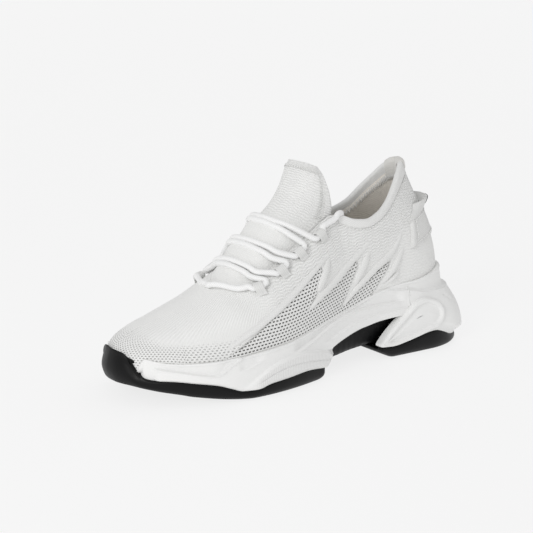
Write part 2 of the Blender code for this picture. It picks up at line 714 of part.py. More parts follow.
def collar_cap():
    """Smooth lining patch folded over the top of the heel tab."""
    inside = [(0.86, 8.2), (0.945, 8.2), (0.99, 5.4), (1.012, 3.4), (1.02, 1.3), (1.012, -0.9), (0.99, -1.25),
              (0.962, -1.0)]
    outside = [(0.86, 9.0), (0.95, 9.0), (1.0, 6.1), (1.026, 3.8), (1.034, 1.3), (1.024, -1.5), (0.992, -2.1),
               (0.96, -1.8)]
    path = round_heel(-147)
    return grid_shell("collar_cap", [[upper_at(s, side, v, d) for v, d in inside] for s, side in path],
                      [[upper_at(s, side, v, d) for v, d in outside] for s, side in path],
                      ("smooth_lining", (0.8, 0.79, 0.77, 1), 0.5))


def loop_frame(number, side):
    """Middle, inward, up-the-shoe and outward directions of a lace loop."""
    s, v = LOOPS[side][number]
    middle = upper_point(s, side, v)
    normal = upper_normal(s, side, v)
    along = (upper_point(s - 3, side, v) - upper_point(s + 3, side, v)).normalized()
    across = normal.cross(along).normalized()
    ridge = upper_point(s, side, min(v + 0.05, 1.0)) - middle
    if across.dot(ridge) < 0:
        across = -across
    return middle, across, along, normal


def lace_loop(number, side):
    """Webbing loop for the lace: a small tunnel with a flat stitched tail."""
    name = "lace_loop_%s_%d" % ("lateral" if side > 0 else "medial", number + 1)
    middle, across, along, normal = loop_frame(number, side)
    outer = [(-7.2, 0.35), (-7.2, 1.5), (-4.4, 1.9), (-2.9, 3.8), (-1.5, 5.4), (0.3, 6.0), (2.2, 5.4),
             (3.2, 3.8), (3.2, 1.8), (2.3, 0.35)]
    inner = [(-2.1, 0.95), (-2.35, 1.3), (-2.5, 2.2), (-2.2, 3.7), (-1.2, 4.9), (0.2, 5.35), (1.6, 4.9),
             (2.5, 3.6), (2.55, 2.0), (1.9, 0.95)]
    bm = bmesh.new()
    rows = []
    for ring, end in ((outer, -0.5), (outer, 0.5), (inner, 0.5), (inner, -0.5)):
        points = []
        for a, h in ring:
            skew = 0.25 * a if a < -2.6 else 0.0
            points.append(middle + across * a + normal * h + along * (end * LOOP_WIDTH + skew))
        rows.append(add_row(bm, points))
    skin(bm, rows + [rows[0]], closed=True)
    return finish(name, bm, ("white_webbing", WHITE_KNIT, 0.75), smooth_shade=False)


def evenly(points, spacing):
    """Smooth line through the points, sampled at an even spacing."""
    dense = []
    last = len(points) - 1
    for i in range(last):
        a, b, c, d = (points[min(max(i + k, 0), last)] for k in (-1, 0, 1, 2))
        for n in range(10):
            t = n / 10
            dense.append((b * 2 + (c - a) * t + (a * 2 - b * 5 + c * 4 - d) * t * t
                          + (b * 3 - a - c * 3 + d) * t ** 3) / 2)
    dense.append(points[last])
    total = sum((q - p).length for p, q in zip(dense, dense[1:]))
    gap = total / round(total / spacing)
    out = [dense[0]]
    run = 0.0
    for p, q in zip(dense, dense[1:]):
        run += (q - p).length
        if run >= gap * len(out) - 0.001:
            out.append(q)
    return out


def lace_path():
    """Lace route: from its sewn end in the first medial loop to its end inside the collar."""
    def through(number, side, forward):
        middle, across, along, normal = loop_frame(number, side)
        centre = middle + normal * LACE_HEIGHT + across * 0.1
        bend = across * 1.5 + normal * 0.35
        ends = [centre - along * 7.0 + bend, centre - along * 4.0, centre, centre + along * 4.0,
                centre + along * 7.0 + bend]
        return ends if forward else ends[::-1]

    def row(number, to_lateral):
        middle, medial, lateral = LACE_ROWS[number]
        out = []
        for w in (-0.66, -0.45, -0.2, 0.05, 0.3, 0.5, 0.68):
            step = table([(-0.8, medial), (0, middle), (0.8, lateral)], w)[0]
            lift = mix(0.7, 3.1, smooth(abs(w), 0.3, 0.65))
            if number == 0:
                lift = mix(3.2, 6.0, smooth(abs(w), 0.1, 0.6))
            out.append(tongue_point(step, w, -(LACE_RADIUS + lift)))
        return out if to_lateral else out[::-1]

    points = through(0, -1, False)[2:]
    points += row(0, True)
    points += through(0, 1, True)
    points += row(1, False) + through(1, -1, True) + row(2, True)
    points += through(1, 1, True)
    points += row(3, False) + through(2, -1, True) + row(4, True)
    points += through(2, 1, True)
    points += row(5, False) + through(3, -1, True) + row(6, True)
    points += through(3, 1, True)
    points.append(upper_at(-23.0, 1, 0.955, -3.4))
    points.append(upper_at(-27.0, 1, 1.012, -2.6))
    points.append(upper_at(-30.0, 1, 1.045, 1.4))
    points.append(upper_at(-31.5, 1, 1.0, 5.4))
    return evenly(points, 5.6)


def lace():
    """Round elastic cord, held all the way."""
    curve = bpy.data.curves.new("lace", "CURVE")
    curve.dimensions = "3D"
    points = lace_path()
    spline = curve.splines.new("POLY")
    spline.points.add(len(points) - 1)
    for target, p in zip(spline.points, points):
        target.co = (*(p * MM), 1)
    curve.bevel_depth = LACE_RADIUS * MM
    curve.bevel_resolution = 2
    curve.use_fill_caps = True
    curve.materials.append(material("white_lace_cord", WHITE_CORD, 0.7))
    made = bpy.data.objects.new("lace", curve)
    bpy.context.scene.collection.objects.link(made)
    return made


def tongue_point(step, w, inward=0.0):
    """Front surface of the tongue: w runs from -1 (medial edge) to 1 (lateral edge)."""
    def front(a, b):
        x, z, ex, ey, ez = table(TONGUE_LINE, a)
        turn = b * math.pi / 2
        full = height(TONGUE_FULL, a)
        share = 1 - max(math.cos(turn), 0.0) ** full
        y = ey * math.copysign(abs(math.sin(turn)) ** full, b)
        return Vector((x + (ex - x) * share, y, z + (ez - z) * share))
    p = front(step, w)
    if not inward:
        return p
    along = front(min(step + 0.05, 11), w) - front(max(step - 0.05, 0), w)
    across = front(step, min(w + 0.02, 1)) - front(step, max(w - 0.02, -1))
    n = across.cross(along).normalized()
    return p - n * inward


def tongue_piece(name, first, last, origin):
    """Padded tongue between two height steps."""
    bm = bmesh.new()
    levels = [mix(first, last, i / 9) for i in range(10)]
    columns = [k / 7 for k in range(-7, 8)]
    grids = []
    for inward in (0.0, TONGUE):
        edge = 1.0 if inward == 0 else 0.97
        grids.append([add_row(bm, [tongue_point(a, w * edge, inward) for w in columns]) for a in levels])
        skin(bm, grids[-1])
    a, b = grids
    skin(bm, [[r[0] for r in a], [r[0] for r in b]])
    skin(bm, [[r[-1] for r in a], [r[-1] for r in b]])
    skin(bm, [a[0], b[0]])
    skin(bm, [a[-1], b[-1]])
    return finish(name, bm, ("white_knit", WHITE_KNIT, 0.85), origin)


def clear_scene():
    for thing in list(bpy.data.objects):
        bpy.data.objects.remove(thing, do_unlink=True)


def build():
    clear_scene()
    rubber_pad("outsole_forefoot", round_shoe(TOE_END, -3.0), GROUND_FORE, EDGE_FORE, True)
    rubber_pad("outsole_heel", round_heel(-61.0), GROUND_HEEL, EDGE_HEEL, False)
    midsole()
    arch_shank()
    board = ("grey_board", GREY_BOARD, 0.9)
    slab("strobel_board", GAP, STROBEL, 2.2, 2.2, board)
    slab("insole", GAP * 2 + STROBEL, INSOLE, 3.4, 5.2, ("pale_foam", PALE_FOAM, 0.9), INSOLE_HINGE)
    vamp()
    quarter(1)
    quarter(-1)
    knit = ("white_knit", WHITE_KNIT, 0.85)
    section_strip("collar_hem", round_heel(-31.0),
                  [(0.962, 0.1), (0.972, -0.5), (0.988, -0.7), (1.0, -0.1), (1.004, 1.3), (0.998, 2.8),
                   (0.984, 3.3), (0.966, 2.6)], knit)
    label = ("lateral", "medial")
    for side in (1, -1):
        for number, place in enumerate(("front", "middle", "rear")):
            rib("rib_%s_%s" % (label[0 if side > 0 else 1], place), side, RIB_LINES[number],
                ("white_rib_knit", WHITE_KNIT, 0.8))
    panel("collar_foam", round_heel(-32), (0.62, 0.955), lambda v: 2.0, 4.0, ("pale_foam", PALE_FOAM, 0.9), 4)
    panel("heel_counter", round_heel(-92), (0.12, 0.585), lambda v: 2.0, 1.2, board, 5)
    panel("heel_lining", round_heel(-58), (0.2, 0.955), lambda v: mix(3.6, 6.4, smooth(v, 0.42, 0.6)), 0.8,
          ("grey_lining", GREY_LINING, 0.85), 7)
    panel("toe_puff", round_shoe(TOE_END, 112), (0.12, 0.72), lambda v: 2.0, 0.9, board, 5)
    heel_patch()
    pull_loop()
    loop_label()
    collar_cap()
    for side in (1, -1):
        for number in range(len(LOOPS[side])):
            lace_loop(number, side)
    lace()
    tongue_piece("tongue_base", 0, HINGE_STEP - 0.05, (0, 0, 0))
    tongue_piece("tongue_top", HINGE_STEP, 11, TONGUE_HINGE)


build()
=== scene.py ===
# Left running shoe: knit upper, sculpted foam sole, rubber pads.
# Lengths are millimetres until a piece is finished.
import math
from functools import lru_cache
import bmesh
import bpy
import numpy as np
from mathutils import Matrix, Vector


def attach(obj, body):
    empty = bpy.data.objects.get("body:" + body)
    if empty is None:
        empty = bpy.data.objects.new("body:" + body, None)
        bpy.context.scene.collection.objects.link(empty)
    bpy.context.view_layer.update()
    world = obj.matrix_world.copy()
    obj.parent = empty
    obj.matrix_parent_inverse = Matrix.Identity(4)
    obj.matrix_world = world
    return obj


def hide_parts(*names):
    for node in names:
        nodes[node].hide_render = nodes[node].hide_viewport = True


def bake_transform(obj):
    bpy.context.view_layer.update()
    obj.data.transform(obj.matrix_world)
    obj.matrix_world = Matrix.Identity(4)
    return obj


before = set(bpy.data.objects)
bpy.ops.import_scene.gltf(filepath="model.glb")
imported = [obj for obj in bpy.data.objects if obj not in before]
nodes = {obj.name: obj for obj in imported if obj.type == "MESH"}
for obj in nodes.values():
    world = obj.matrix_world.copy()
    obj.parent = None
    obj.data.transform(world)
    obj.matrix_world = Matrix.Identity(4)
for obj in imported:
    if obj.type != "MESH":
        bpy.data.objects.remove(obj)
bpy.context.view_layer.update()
mm = 0.001
print("frame loaded")

# outlines and heights of the last by station
# a station is x along the sides, and runs on round the toe to 170 and round the heel to -170
lastShape = {
    "toeEnd": 170.0, "heelEnd": -170.0, "toeBend": 105.0, "heelBend": -110.0,
    "soleLateral": [(142.8, -6), (141.6, 3.5), (136.8, 13), (128.6, 22.5), (115.6, 32), (100, 41),
                    (80, 48.7), (60, 52.2), (40, 52.6), (20, 50.3), (0, 46), (-20, 41.2), (-40, 38),
                    (-60, 36.5), (-80, 37), (-100, 38), (-118, 38), (-134.5, 32.5), (-148, 19.5),
                    (-154, 0)],
    "soleMedial": [(142.8, -6), (140.8, -16), (134.6, -27), (124.4, -37.5), (109.5, -45.8), (92, -51),
                   (70, -52), (48, -49), (28, -43.5), (8, -38.5), (-12, -36), (-34, -35.5), (-56, -36.5),
                   (-78, -38), (-100, -38.5), (-118, -37.5), (-134.5, -32), (-148, -19), (-154, 0)],
    "upperLateral": [(139.5, -6), (138, 3), (133.5, 12), (125, 21), (113, 29), (97, 37), (79, 43.8),
                     (60, 47.3), (40, 47.8), (20, 45.6), (0, 41.2), (-20, 36.5), (-40, 33.2), (-60, 31.8),
                     (-80, 32.2), (-98, 32.4), (-112, 29.5), (-123, 22.5), (-130.5, 12), (-133, 0)],
    "upperMedial": [(139.5, -6), (137.5, -15), (132, -24.5), (121, -34), (107, -41.5), (90, -46), (70, -47),
                    (48, -44.2), (28, -38.8), (8, -33.8), (-12, -31.3), (-34, -30.8), (-56, -31.8),
                    (-78, -33), (-98, -32.8), (-112, -29.5), (-123, -22), (-130.5, -11.5), (-133, 0)],
}
heights = {
    "groundFore": [(-5, 2.5), (2, 0), (60, 0), (70, 0.8), (83, 2.4), (99, 5), (112, 7.3), (125, 9.2),
                   (138, 11.3), (150, 12.8), (170, 13.6)],
    "groundHeel": [(-170, 3.5), (-150, 1.5), (-135, 0), (-74, 0), (-66, 3.0), (-60, 6.0)],
    "edgeFore": [(-5, 8), (5, 10.5), (17, 12), (33, 11), (48, 9.8), (60, 7), (70, 6.8), (78, 9.5), (88, 13),
                 (119, 17.2), (131, 17.6), (142, 20.5), (149.5, 29.5), (155, 34), (170, 35)],
    "edgeHeel": [(-170, 7.5), (-145, 5.5), (-132, 7.5), (-120, 12.5), (-112, 15), (-106, 14.5), (-94, 12),
                 (-76, 8.8), (-60, 9.4)],
    "archTop": [(-86, 31), (-60, 30.2), (-40, 27.6), (-20, 23), (-6, 18.5)],
    "rim": [(-170, 60), (-135, 60), (-113, 58), (-96, 55.5), (-78, 54), (-62, 51.9), (-34, 44.8),
            (-5, 39.7), (31, 33.7), (54, 31.6), (78, 29.3), (102, 28.2), (120, 29), (136, 31.7), (145, 33),
            (170, 34)],
    "bed": [(-170, 45), (-120, 45), (-90, 44), (-60, 40.5), (-30, 34), (0, 27), (30, 22), (60, 20),
            (100, 20.5), (120, 22), (140, 22.6), (170, 22.8)],
    "ridge": [(66, 66, -2, 66.5, 0), (80, 80, -4, 59.5, 0), (100, 100, -5, 51.5, 0)],
    "edgeLateral": [(-170, -104, 0, 141, 72), (-150, -102, 6, 140.5, 72), (-130, -97.5, 11, 138.5, 70),
                    (-112, -91.5, 16, 134, 74), (-94, -83.5, 21.5, 127, 78), (-78, -73, 26.5, 116.5, 82),
                    (-64, -62, 29.3, 109, 85), (-52, -51, 30, 105.5, 85), (-42, -41, 28.5, 106.5, 82),
                    (-34, -33, 25.5, 109.5, 76), (-27, -26, 22.5, 112, 68), (-15, -14, 23.5, 107, 62),
                    (3, 3, 25, 97.5, 57), (22, 22, 25, 86, 50), (36, 36, 23.5, 78, 42),
                    (46, 46, 19.5, 73.5, 35), (54, 54, 12.5, 71.5, 24), (60, 60, 4, 69.6, 10),
                    (66, 66, -2, 66.5, 0)],
    "edgeMedial": [(-170, -104, 0, 141, 72), (-150, -102.5, -6.5, 139.5, 72), (-130, -99.5, -13, 134.5, 70),
                   (-112, -95, -19.5, 127, 74), (-94, -87, -25, 117.5, 78), (-78, -76, -28, 107.5, 82),
                   (-64, -62, -29.5, 102.5, 85), (-52, -51, -29.5, 101.5, 85), (-42, -41, -28, 103.5, 82),
                   (-34, -33, -25.5, 108, 76), (-27, -26, -22.5, 111.5, 68), (-15, -14, -23.5, 107, 62),
                   (3, 3, -25, 97.5, 57), (22, 22, -25, 86, 50), (36, 36, -23.5, 78, 42),
                   (46, 46, -20.5, 73.5, 35), (54, 54, -14.5, 71.5, 24), (60, 60, -7, 69.6, 10),
                   (66, 66, -2, 66.5, 0)],
    "tongue": [(0, 72, 59.5, 70, 11, 57.5), (1, 61.5, 65.6, 57, 13.5, 60.5), (2, 53, 74.0, 44, 19.3, 65.6),
               (3, 43.5, 84.5, 32, 23, 72), (4, 33, 94.5, 16, 24, 79.5), (5, 23, 104.5, 2, 23.6, 89),
               (6, 14.5, 112, -12, 22, 97.5), (7, 7, 119.5, -24, 20.8, 105), (8, 1, 127, -26.5, 20.6, 114),
               (9, -4, 135, -24.5, 20.6, 125), (10, -8.5, 142.5, -20, 19.3, 137.5),
               (11, -11.5, 147.5, -17, 15, 144.5)],
    "tongueFull": [(0, 1.0), (1, 1.0), (2.4, 0.95), (4, 0.76), (11, 0.74)],
}


def smooth(value, low, high):
    t = min(1.0, max(0.0, (value - low) / (high - low)))
    return t * t * (3 - 2 * t)


def mix(a, b, t):
    return a + (b - a) * t


def curveThrough(rows, at):
    # monotone cubic through rows of (station, value...)
    at = min(max(at, rows[0][0]), rows[-1][0])
    i = 0
    while i < len(rows) - 2 and at > rows[i + 1][0]:
        i += 1
    h = rows[i + 1][0] - rows[i][0]
    t = (at - rows[i][0]) / h
    out = []
    for k in range(1, len(rows[0])):
        slopes = []
        for j in (i, i + 1):
            if j == 0 or j == len(rows) - 1:
                a = min(max(j - 1, 0), len(rows) - 2)
                slopes.append((rows[a + 1][k] - rows[a][k]) / (rows[a + 1][0] - rows[a][0]))
                continue
            before = (rows[j][k] - rows[j - 1][k]) / (rows[j][0] - rows[j - 1][0])
            after = (rows[j + 1][k] - rows[j][k]) / (rows[j + 1][0] - rows[j][0])
            slopes.append(0.0 if before * after <= 0 else 2 * before * after / (before + after))
        a = (2 * t ** 3 - 3 * t ** 2 + 1) * rows[i][k] + (t ** 3 - 2 * t ** 2 + t) * h * slopes[0]
        b = (-2 * t ** 3 + 3 * t ** 2) * rows[i + 1][k] + (t ** 3 - t ** 2) * h * slopes[1]
        out.append(a + b)
    return out


@lru_cache(maxsize=None)
def read(name, at):
    return tuple(curveThrough(sorted(heights[name]), at))


def height(name, at):
    return read(name, round(at, 3))[0]


def outline(points):
    # dense (station, x, y) samples of a half outline that runs from the toe tip to the heel tip
    dense = []
    last = len(points) - 1
    for i in range(last):
        p = [Vector(points[min(max(i + k, 0), last)]) for k in (-1, 0, 1, 2)]
        if i == 0:
            p[0] = p[1] + Vector((0, p[1].y - p[2].y))
        if i == last - 1:
            p[3] = p[2] + Vector((0, p[2].y - p[1].y))
        for n in range(12):
            t = n / 12
            a = p[1] * 2 + (p[2] - p[0]) * t
            b = (p[0] * 2 - p[1] * 5 + p[2] * 4 - p[3]) * t * t
            c = (p[1] * 3 - p[0] - p[2] * 3 + p[3]) * t ** 3
            dense.append((a + b + c) / 2)
    dense.append(Vector(points[last]))
    run = [0.0]
    for a, b in zip(dense, dense[1:]):
        run.append(run[-1] + (b - a).length)
    toe = next(r for r, p in zip(run, dense) if p.x <= lastShape["toeBend"])
    heel = next(r for r, p in zip(run, dense) if p.x <= lastShape["heelBend"])
    rows = []
    for r, p in zip(run, dense):
        station = p.x
        if r < toe:
            station = lastShape["toeEnd"] - (lastShape["toeEnd"] - lastShape["toeBend"]) * r / toe
        if r > heel:
            share = (r - heel) / (run[-1] - heel)
            station = mix(lastShape["heelBend"], lastShape["heelEnd"], share)
        rows.append((station, p.x, p.y))
    return np.array(rows[::-1])


soleLine = {1: outline(lastShape["soleLateral"]), -1: outline(lastShape["soleMedial"])}
upperLine = {1: outline(lastShape["upperLateral"]), -1: outline(lastShape["upperMedial"])}


@lru_cache(maxsize=None)
def planPair(station, side):
    a = [float(np.interp(station, soleLine[side][:, 0], soleLine[side][:, k])) for k in (1, 2)]
    b = [float(np.interp(station, upperLine[side][:, 0], upperLine[side][:, k])) for k in (1, 2)]
    return Vector(a), Vector(b)


def depth(station, side):
    a, b = planPair(round(station, 3), side)
    return (b - a).length


def at(station, side, inset, z):
    # a point this far in from the widest outline of the sole
    a, b = planPair(round(station, 3), side)
    p = a + (b - a) * (inset / (b - a).length)
    return Vector((p.x, p.y, z))


@lru_cache(maxsize=None)
def upperColumn(s, side):
    # the four control points of the upper's section at a station, from the foot bed to its top edge
    p = planPair(s, side)[1]
    start = Vector((p.x, p.y, height("bed", s) + 0.6))
    if s >= 66:
        x, y, z, lean = read("ridge", min(s, 100))
    else:
        x, y, z, lean = read("edgeLateral" if side > 0 else "edgeMedial", s)
    end = Vector((x, y, z))
    flat = Vector((end.x - start.x, end.y - start.y, 0)).normalized()
    span = (end - start).length
    slope = -0.44 * smooth(s, 58, 72)
    angle = math.radians(lean)
    way = flat * math.cos(angle) + Vector((0, 0, math.sin(angle) + slope * flat.x))
    way.normalize()
    bulge = mix(2.2, 7.5, smooth(-s, 105, 160)) + 2.0 * smooth(-s, -30, 20) * smooth(s, -100, -40)
    rise = mix(0.44, 0.36, smooth(-s, 20, 60))
    one = start + Vector((0, 0, span * rise)) - flat * bulge
    reach = mix(0.46, 0.3, smooth(-s, -10, 30))
    if side < 0:
        reach -= 0.13 * smooth(s, 48, 75)
    return start, one, end - way * span * reach, end


def upperSpot(s, side, v):
    a, b, c, d = upperColumn(round(s, 3), side)
    w = 1 - v
    return a * w ** 3 + b * (3 * w * w * v) + c * (3 * w * v * v) + d * v ** 3


def upperNormal(s, side, v):
    if v > 0.995 and s >= 65.9:
        ahead = min(max(s, 67), 100)
        slope = read("ridge", ahead)[2] - read("ridge", ahead - 1)[2]
        return Vector((-slope, 0, 1)).normalized()
    up = upperSpot(s, side, min(v + 0.01, 1.0)) - upperSpot(s, side, max(v - 0.01, 0.0))
    level = min(v, 0.98)
    along = upperSpot(min(s + 0.6, 170), side, level) - upperSpot(max(s - 0.6, -170), side, level)
    if abs(s) > 169.5:
        along = Vector((0, -side if s > 0 else side, 0))
    n = along.cross(up) * side
    return -n.normalized() if n.length > 0 else Vector((0, 0, 1))


def upperAt(s, side, v, out=0.0):
    # this far outside the upper's surface; v above 1 runs on past the edge
    level = min(v, 1.0)
    p = upperSpot(s, side, level) + upperNormal(s, side, level) * out
    if v > 1:
        p += (upperSpot(s, side, 1.0) - upperSpot(s, side, 0.99)) * ((v - 1) * 100)
    return p


def levelOf(s, side, z):
    low, high = 0.0, 0.94
    for _ in range(16):
        middle = (low + high) / 2
        if upperSpot(s, side, middle).z < z:
            low = middle
        else:
            high = middle
    return low


def tongueSpot(step, w, out=0.0):
    def front(a, b):
        x, z, ex, ey, ez = read("tongue", round(a, 4))
        turn = b * math.pi / 2
        full = height("tongueFull", a)
        share = 1 - max(math.cos(turn), 0.0) ** full
        y = ey * math.copysign(abs(math.sin(turn)) ** full, b)
        return Vector((x + (ex - x) * share, y, z + (ez - z) * share))
    p = front(step, w)
    if not out:
        return p
    along = front(min(step + 0.05, 11), w) - front(max(step - 0.05, 0), w)
    across = front(step, min(w + 0.02, 1)) - front(step, max(w - 0.02, -1))
    return p + across.cross(along).normalized() * out


def evenly(points, spacing, closed=False):
    # smooth line through the points, sampled at an even spacing
    dense = []
    count = len(points)
    spans = count if closed else count - 1
    for i in range(spans):
        picks = [(i + k) % count if closed else min(max(i + k, 0), count - 1) for k in (-1, 0, 1, 2)]
        a, b, c, d = (points[k] for k in picks)
        for n in range(10):
            t = n / 10
            dense.append((b * 2 + (c - a) * t + (a * 2 - b * 5 + c * 4 - d) * t * t
                          + (b * 3 - a - c * 3 + d) * t ** 3) / 2)
    dense.append(points[spans % count])
    run = [0.0]
    for p, q in zip(dense, dense[1:]):
        run.append(run[-1] + (q - p).length)
    grid = np.linspace(0, run[-1], max(2, round(run[-1] / spacing)) + 1)
    axes = [np.interp(grid, run, [p[k] for p in dense]) for k in range(3)]
    return [Vector(p) for p in zip(*axes)]


def distanceTo(points, polygon):
    # signed distance to a closed outline, negative inside
    x, z = points[:, 0], points[:, 1]
    best = np.full(len(points), 1e9)
    inside = np.zeros(len(points), bool)
    for (ax, az), (bx, bz) in zip(polygon, polygon[1:] + polygon[:1]):
        dx, dz = bx - ax, bz - az
        t = np.clip(((x - ax) * dx + (z - az) * dz) / (dx * dx + dz * dz), 0, 1)
        best = np.minimum(best, np.hypot(x - ax - t * dx, z - az - t * dz))
        if az != bz:
            cross = (az > z) != (bz > z)
            inside ^= cross & (x < (z - az) / (bz - az) * dx + ax)
    return np.where(inside, -best, best)


# each surface's brightest and darkest colour (the darker one is painted shade in the relief's valleys), its
# relief in mm and the strength of the relief
shades = {
    "knit": ("#fcfcfb", "#dededc", 0.65, 1.0), "plain": ("#f7f7f6", "#cdcdcb", 0.3, 0.8),
    "foam": ("#f5f5f4", "#cfcfce", 0.35, 0.55), "rubber": ("#0a0a0b", "#040405", 0.06, 0.5),
    "cord": ("#fafafa", "#d6d6d4", 0.22, 0.6), "lining": ("#f2eee7", "#d2ccc2", 0.3, 0.8),
    "backing": "#a3a3a0",
}


def colourOf(code):
    channels = [int(code[i:i + 2], 16) / 255 for i in (1, 3, 5)]
    return (*[c / 12.92 if c <= 0.04045 else ((c + 0.055) / 1.055) ** 2.4 for c in channels], 1.0)


def addNode(tree, kind, inputs=(), output=0, **settings):
    # inputs by order or by name, each a value or another node's output
    node = tree.nodes.new("ShaderNode" + kind)
    for key, value in settings.items():
        setattr(node, key, value)
    for key, value in inputs.items() if isinstance(inputs, dict) else enumerate(inputs):
        if isinstance(value, bpy.types.NodeSocket):
            tree.links.new(value, node.inputs[key])
        else:
            node.inputs[key].default_value = value
    return node.outputs[output]


def newMaterial(name, code, roughness, **more):
    made = bpy.data.materials.new(name)
    made.use_nodes = True
    shader = made.node_tree.nodes["Principled BSDF"]
    shader.inputs["Base Color"].default_value = colourOf(code)
    shader.inputs["Roughness"].default_value = roughness
    for key, value in more.items():
        shader.inputs[key.replace("_", " ")].default_value = value
    made.diffuse_color = colourOf(code)
    return made, made.node_tree, shader


def wave(tree, value, period, phase=0.0):
    # sine of a length in mm, from 0 to 1
    turn = addNode(tree, "Math", (value, 2 * math.pi / period, phase), operation="MULTIPLY_ADD")
    turn = addNode(tree, "Math", (turn,), operation="SINE")
    return addNode(tree, "Math", (turn, 0.5, 0.5), operation="MULTIPLY_ADD")


def clothAxes(tree):
    # along and up the cloth, in mm
    along = addNode(tree, "SeparateXYZ", (addNode(tree, "UVMap", uv_map="cloth"),))
    return along, along.node.outputs[1]


def crossed(tree, period, operation):
    # two sets of waves at 45 degrees to the cloth, joined by the operation
    axes = clothAxes(tree)
    ways = [addNode(tree, "Math", axes, operation=way) for way in ("ADD", "SUBTRACT")]
    return addNode(tree, "Math", [wave(tree, way, period) for way in ways], operation=operation)


def shadeBy(tree, shader, level, high, low, relief, strength):
    # colour and relief from one height from 0 to 1; where the height is a relief, the darker colour in its low
    # parts is painted shade, where it is noise it is random tone
    colours = addNode(tree, "Mix", {0: level, 6: colourOf(low), 7: colourOf(high)}, 2, data_type="RGBA")
    tree.links.new(colours, shader.inputs["Base Color"])
    bump = addNode(tree, "Bump", {"Strength": strength, "Distance": relief * mm, "Height": level})
    tree.links.new(bump, shader.inputs["Normal"])
    return colours


def speckle(tree, size, detail=2.0):
    # object coordinates are metres, so a grain of this many mm
    place = addNode(tree, "TexCoord", output="Object")
    return addNode(tree, "TexNoise", {"Scale": 1 / (size * mm), "Detail": detail, "Vector": place}, "Fac")


def whiteKnit():
    # polyester yarn, jacquard knit: soft, matt rows of loops, ripples on the sides, fanned ribs over the toes
    made, tree, shader = newMaterial("polyesterJacquardKnit", "#f1f1f0", 0.9, Sheen_Weight=0.25)
    u, v = clothAxes(tree)
    fanMask, rippleMask, eyeletMask, liningMask = (
        addNode(tree, "Attribute", output="Fac", attribute_name=name)
        for name in ("fan", "ripple", "eyelets", "lining"))
    # ripple rows 2.3 mm apart that wander every 7 mm
    drift = addNode(tree, "Math", (speckle(tree, 9, 1), 5.0, -1.5), operation="MULTIPLY_ADD")
    wander = addNode(tree, "Math", (wave(tree, u, 6.8), 3.0, drift), operation="MULTIPLY_ADD")
    ripple = wave(tree, v, 2.3, wander)
    # ribs over the toes fan out from a point under the instep, 2 mm apart 95 mm from it
    x = addNode(tree, "SeparateXYZ", (addNode(tree, "TexCoord", output="Object"),))
    y = addNode(tree, "Math", (x.node.outputs[1], 3.0 * mm), operation="ADD")
    x = addNode(tree, "Math", (x, -2.0 * mm), operation="ADD")
    fan = wave(tree, addNode(tree, "Math", (y, x), operation="ARCTAN2"), 2.05 / 95)
    # single loops, 1.3 mm along and 1.1 mm up, drawn a little coarser than the real yarn
    loops = addNode(tree, "Math", (wave(tree, u, 1.35), wave(tree, v, 1.15)), operation="MULTIPLY")
    # small eyelets near the sole, 2.9 mm apart in staggered rows 2 mm apart
    stagger = addNode(tree, "Math", (v, 1 / 4.0), operation="MULTIPLY")
    stagger = addNode(tree, "Math", (stagger,), operation="FRACT")
    stagger = addNode(tree, "Math", (stagger,), operation="ROUND")
    across = addNode(tree, "Math", (stagger, 1.45, u), operation="MULTIPLY_ADD")
    eyelets = (wave(tree, across, 2.9), wave(tree, v, 2.0), -0.42)
    eyelets = addNode(tree, "Math", eyelets, operation="MULTIPLY_ADD")
    eyelets = addNode(tree, "Math", (eyelets, 0.0, 0.1), operation="SMOOTH_MAX")
    level = addNode(tree, "Math", (fanMask, -0.2, 0.22), operation="MULTIPLY_ADD")
    level = addNode(tree, "Math", (loops, level), operation="MULTIPLY")
    level = addNode(tree, "Math", (speckle(tree, 1.2), 0.16, level), operation="MULTIPLY_ADD")
    for part, mask, share in ((ripple, rippleMask, 0.55), (fan, fanMask, 0.3), (eyelets, eyeletMask, -2.42)):
        part = addNode(tree, "Math", (part, mask), operation="MULTIPLY")
        level = addNode(tree, "Math", (part, share, level), operation="MULTIPLY_ADD")
    base = addNode(tree, "Math", (rippleMask, -0.28, 0.36), operation="MULTIPLY_ADD")
    level = addNode(tree, "Math", (level, base), operation="ADD")
    # painted shade: the ripple valleys, the gaps between loops and fan ribs, and the eyelets get the darker
    # colour; the fine speckle is random tone
    colours = shadeBy(tree, shader, level, *shades["knit"])
    backed = {0: liningMask, 6: colours, 7: colourOf(shades["backing"])}
    tree.links.new(addNode(tree, "Mix", backed, 2, data_type="RGBA"), shader.inputs["Base Color"])
    return made


def plainKnit():
    # the same yarn in a plain tight knit: ribs, netting, tongue and hems
    made, tree, shader = newMaterial("polyesterPlainKnit", "#f1f1f0", 0.88, Sheen_Weight=0.2)
    loops = crossed(tree, 1.7, "MULTIPLY")
    level = addNode(tree, "Math", (loops, 0.4, 0.42), operation="MULTIPLY_ADD")
    level = addNode(tree, "Math", (speckle(tree, 1.0), 0.22, level), operation="MULTIPLY_ADD")
    # painted shade: the gaps between the knit's loops get the darker colour; the speckle is random tone
    shadeBy(tree, shader, level, *shades["plain"])
    return made


def foam():
    # EVA, compression moulded: matt skin with a very fine grain
    made, tree, shader = newMaterial("mouldedEvaFoam", "#f0f0ef", 0.52, IOR=1.45)
    ribbed = addNode(tree, "Attribute", output="Fac", attribute_name="ribbed")
    ribs = addNode(tree, "Math", (wave(tree, clothAxes(tree)[0], 1.5), ribbed), operation="MULTIPLY")
    level = addNode(tree, "Math", (speckle(tree, 0.7, 3), 0.2, 0.75), operation="MULTIPLY_ADD")
    level = addNode(tree, "Math", (ribs, -0.4, level), operation="MULTIPLY_ADD")
    # painted shade: the grooves between the pod's ribs get the darker colour; the grain is random tone
    shadeBy(tree, shader, level, *shades["foam"])
    return made


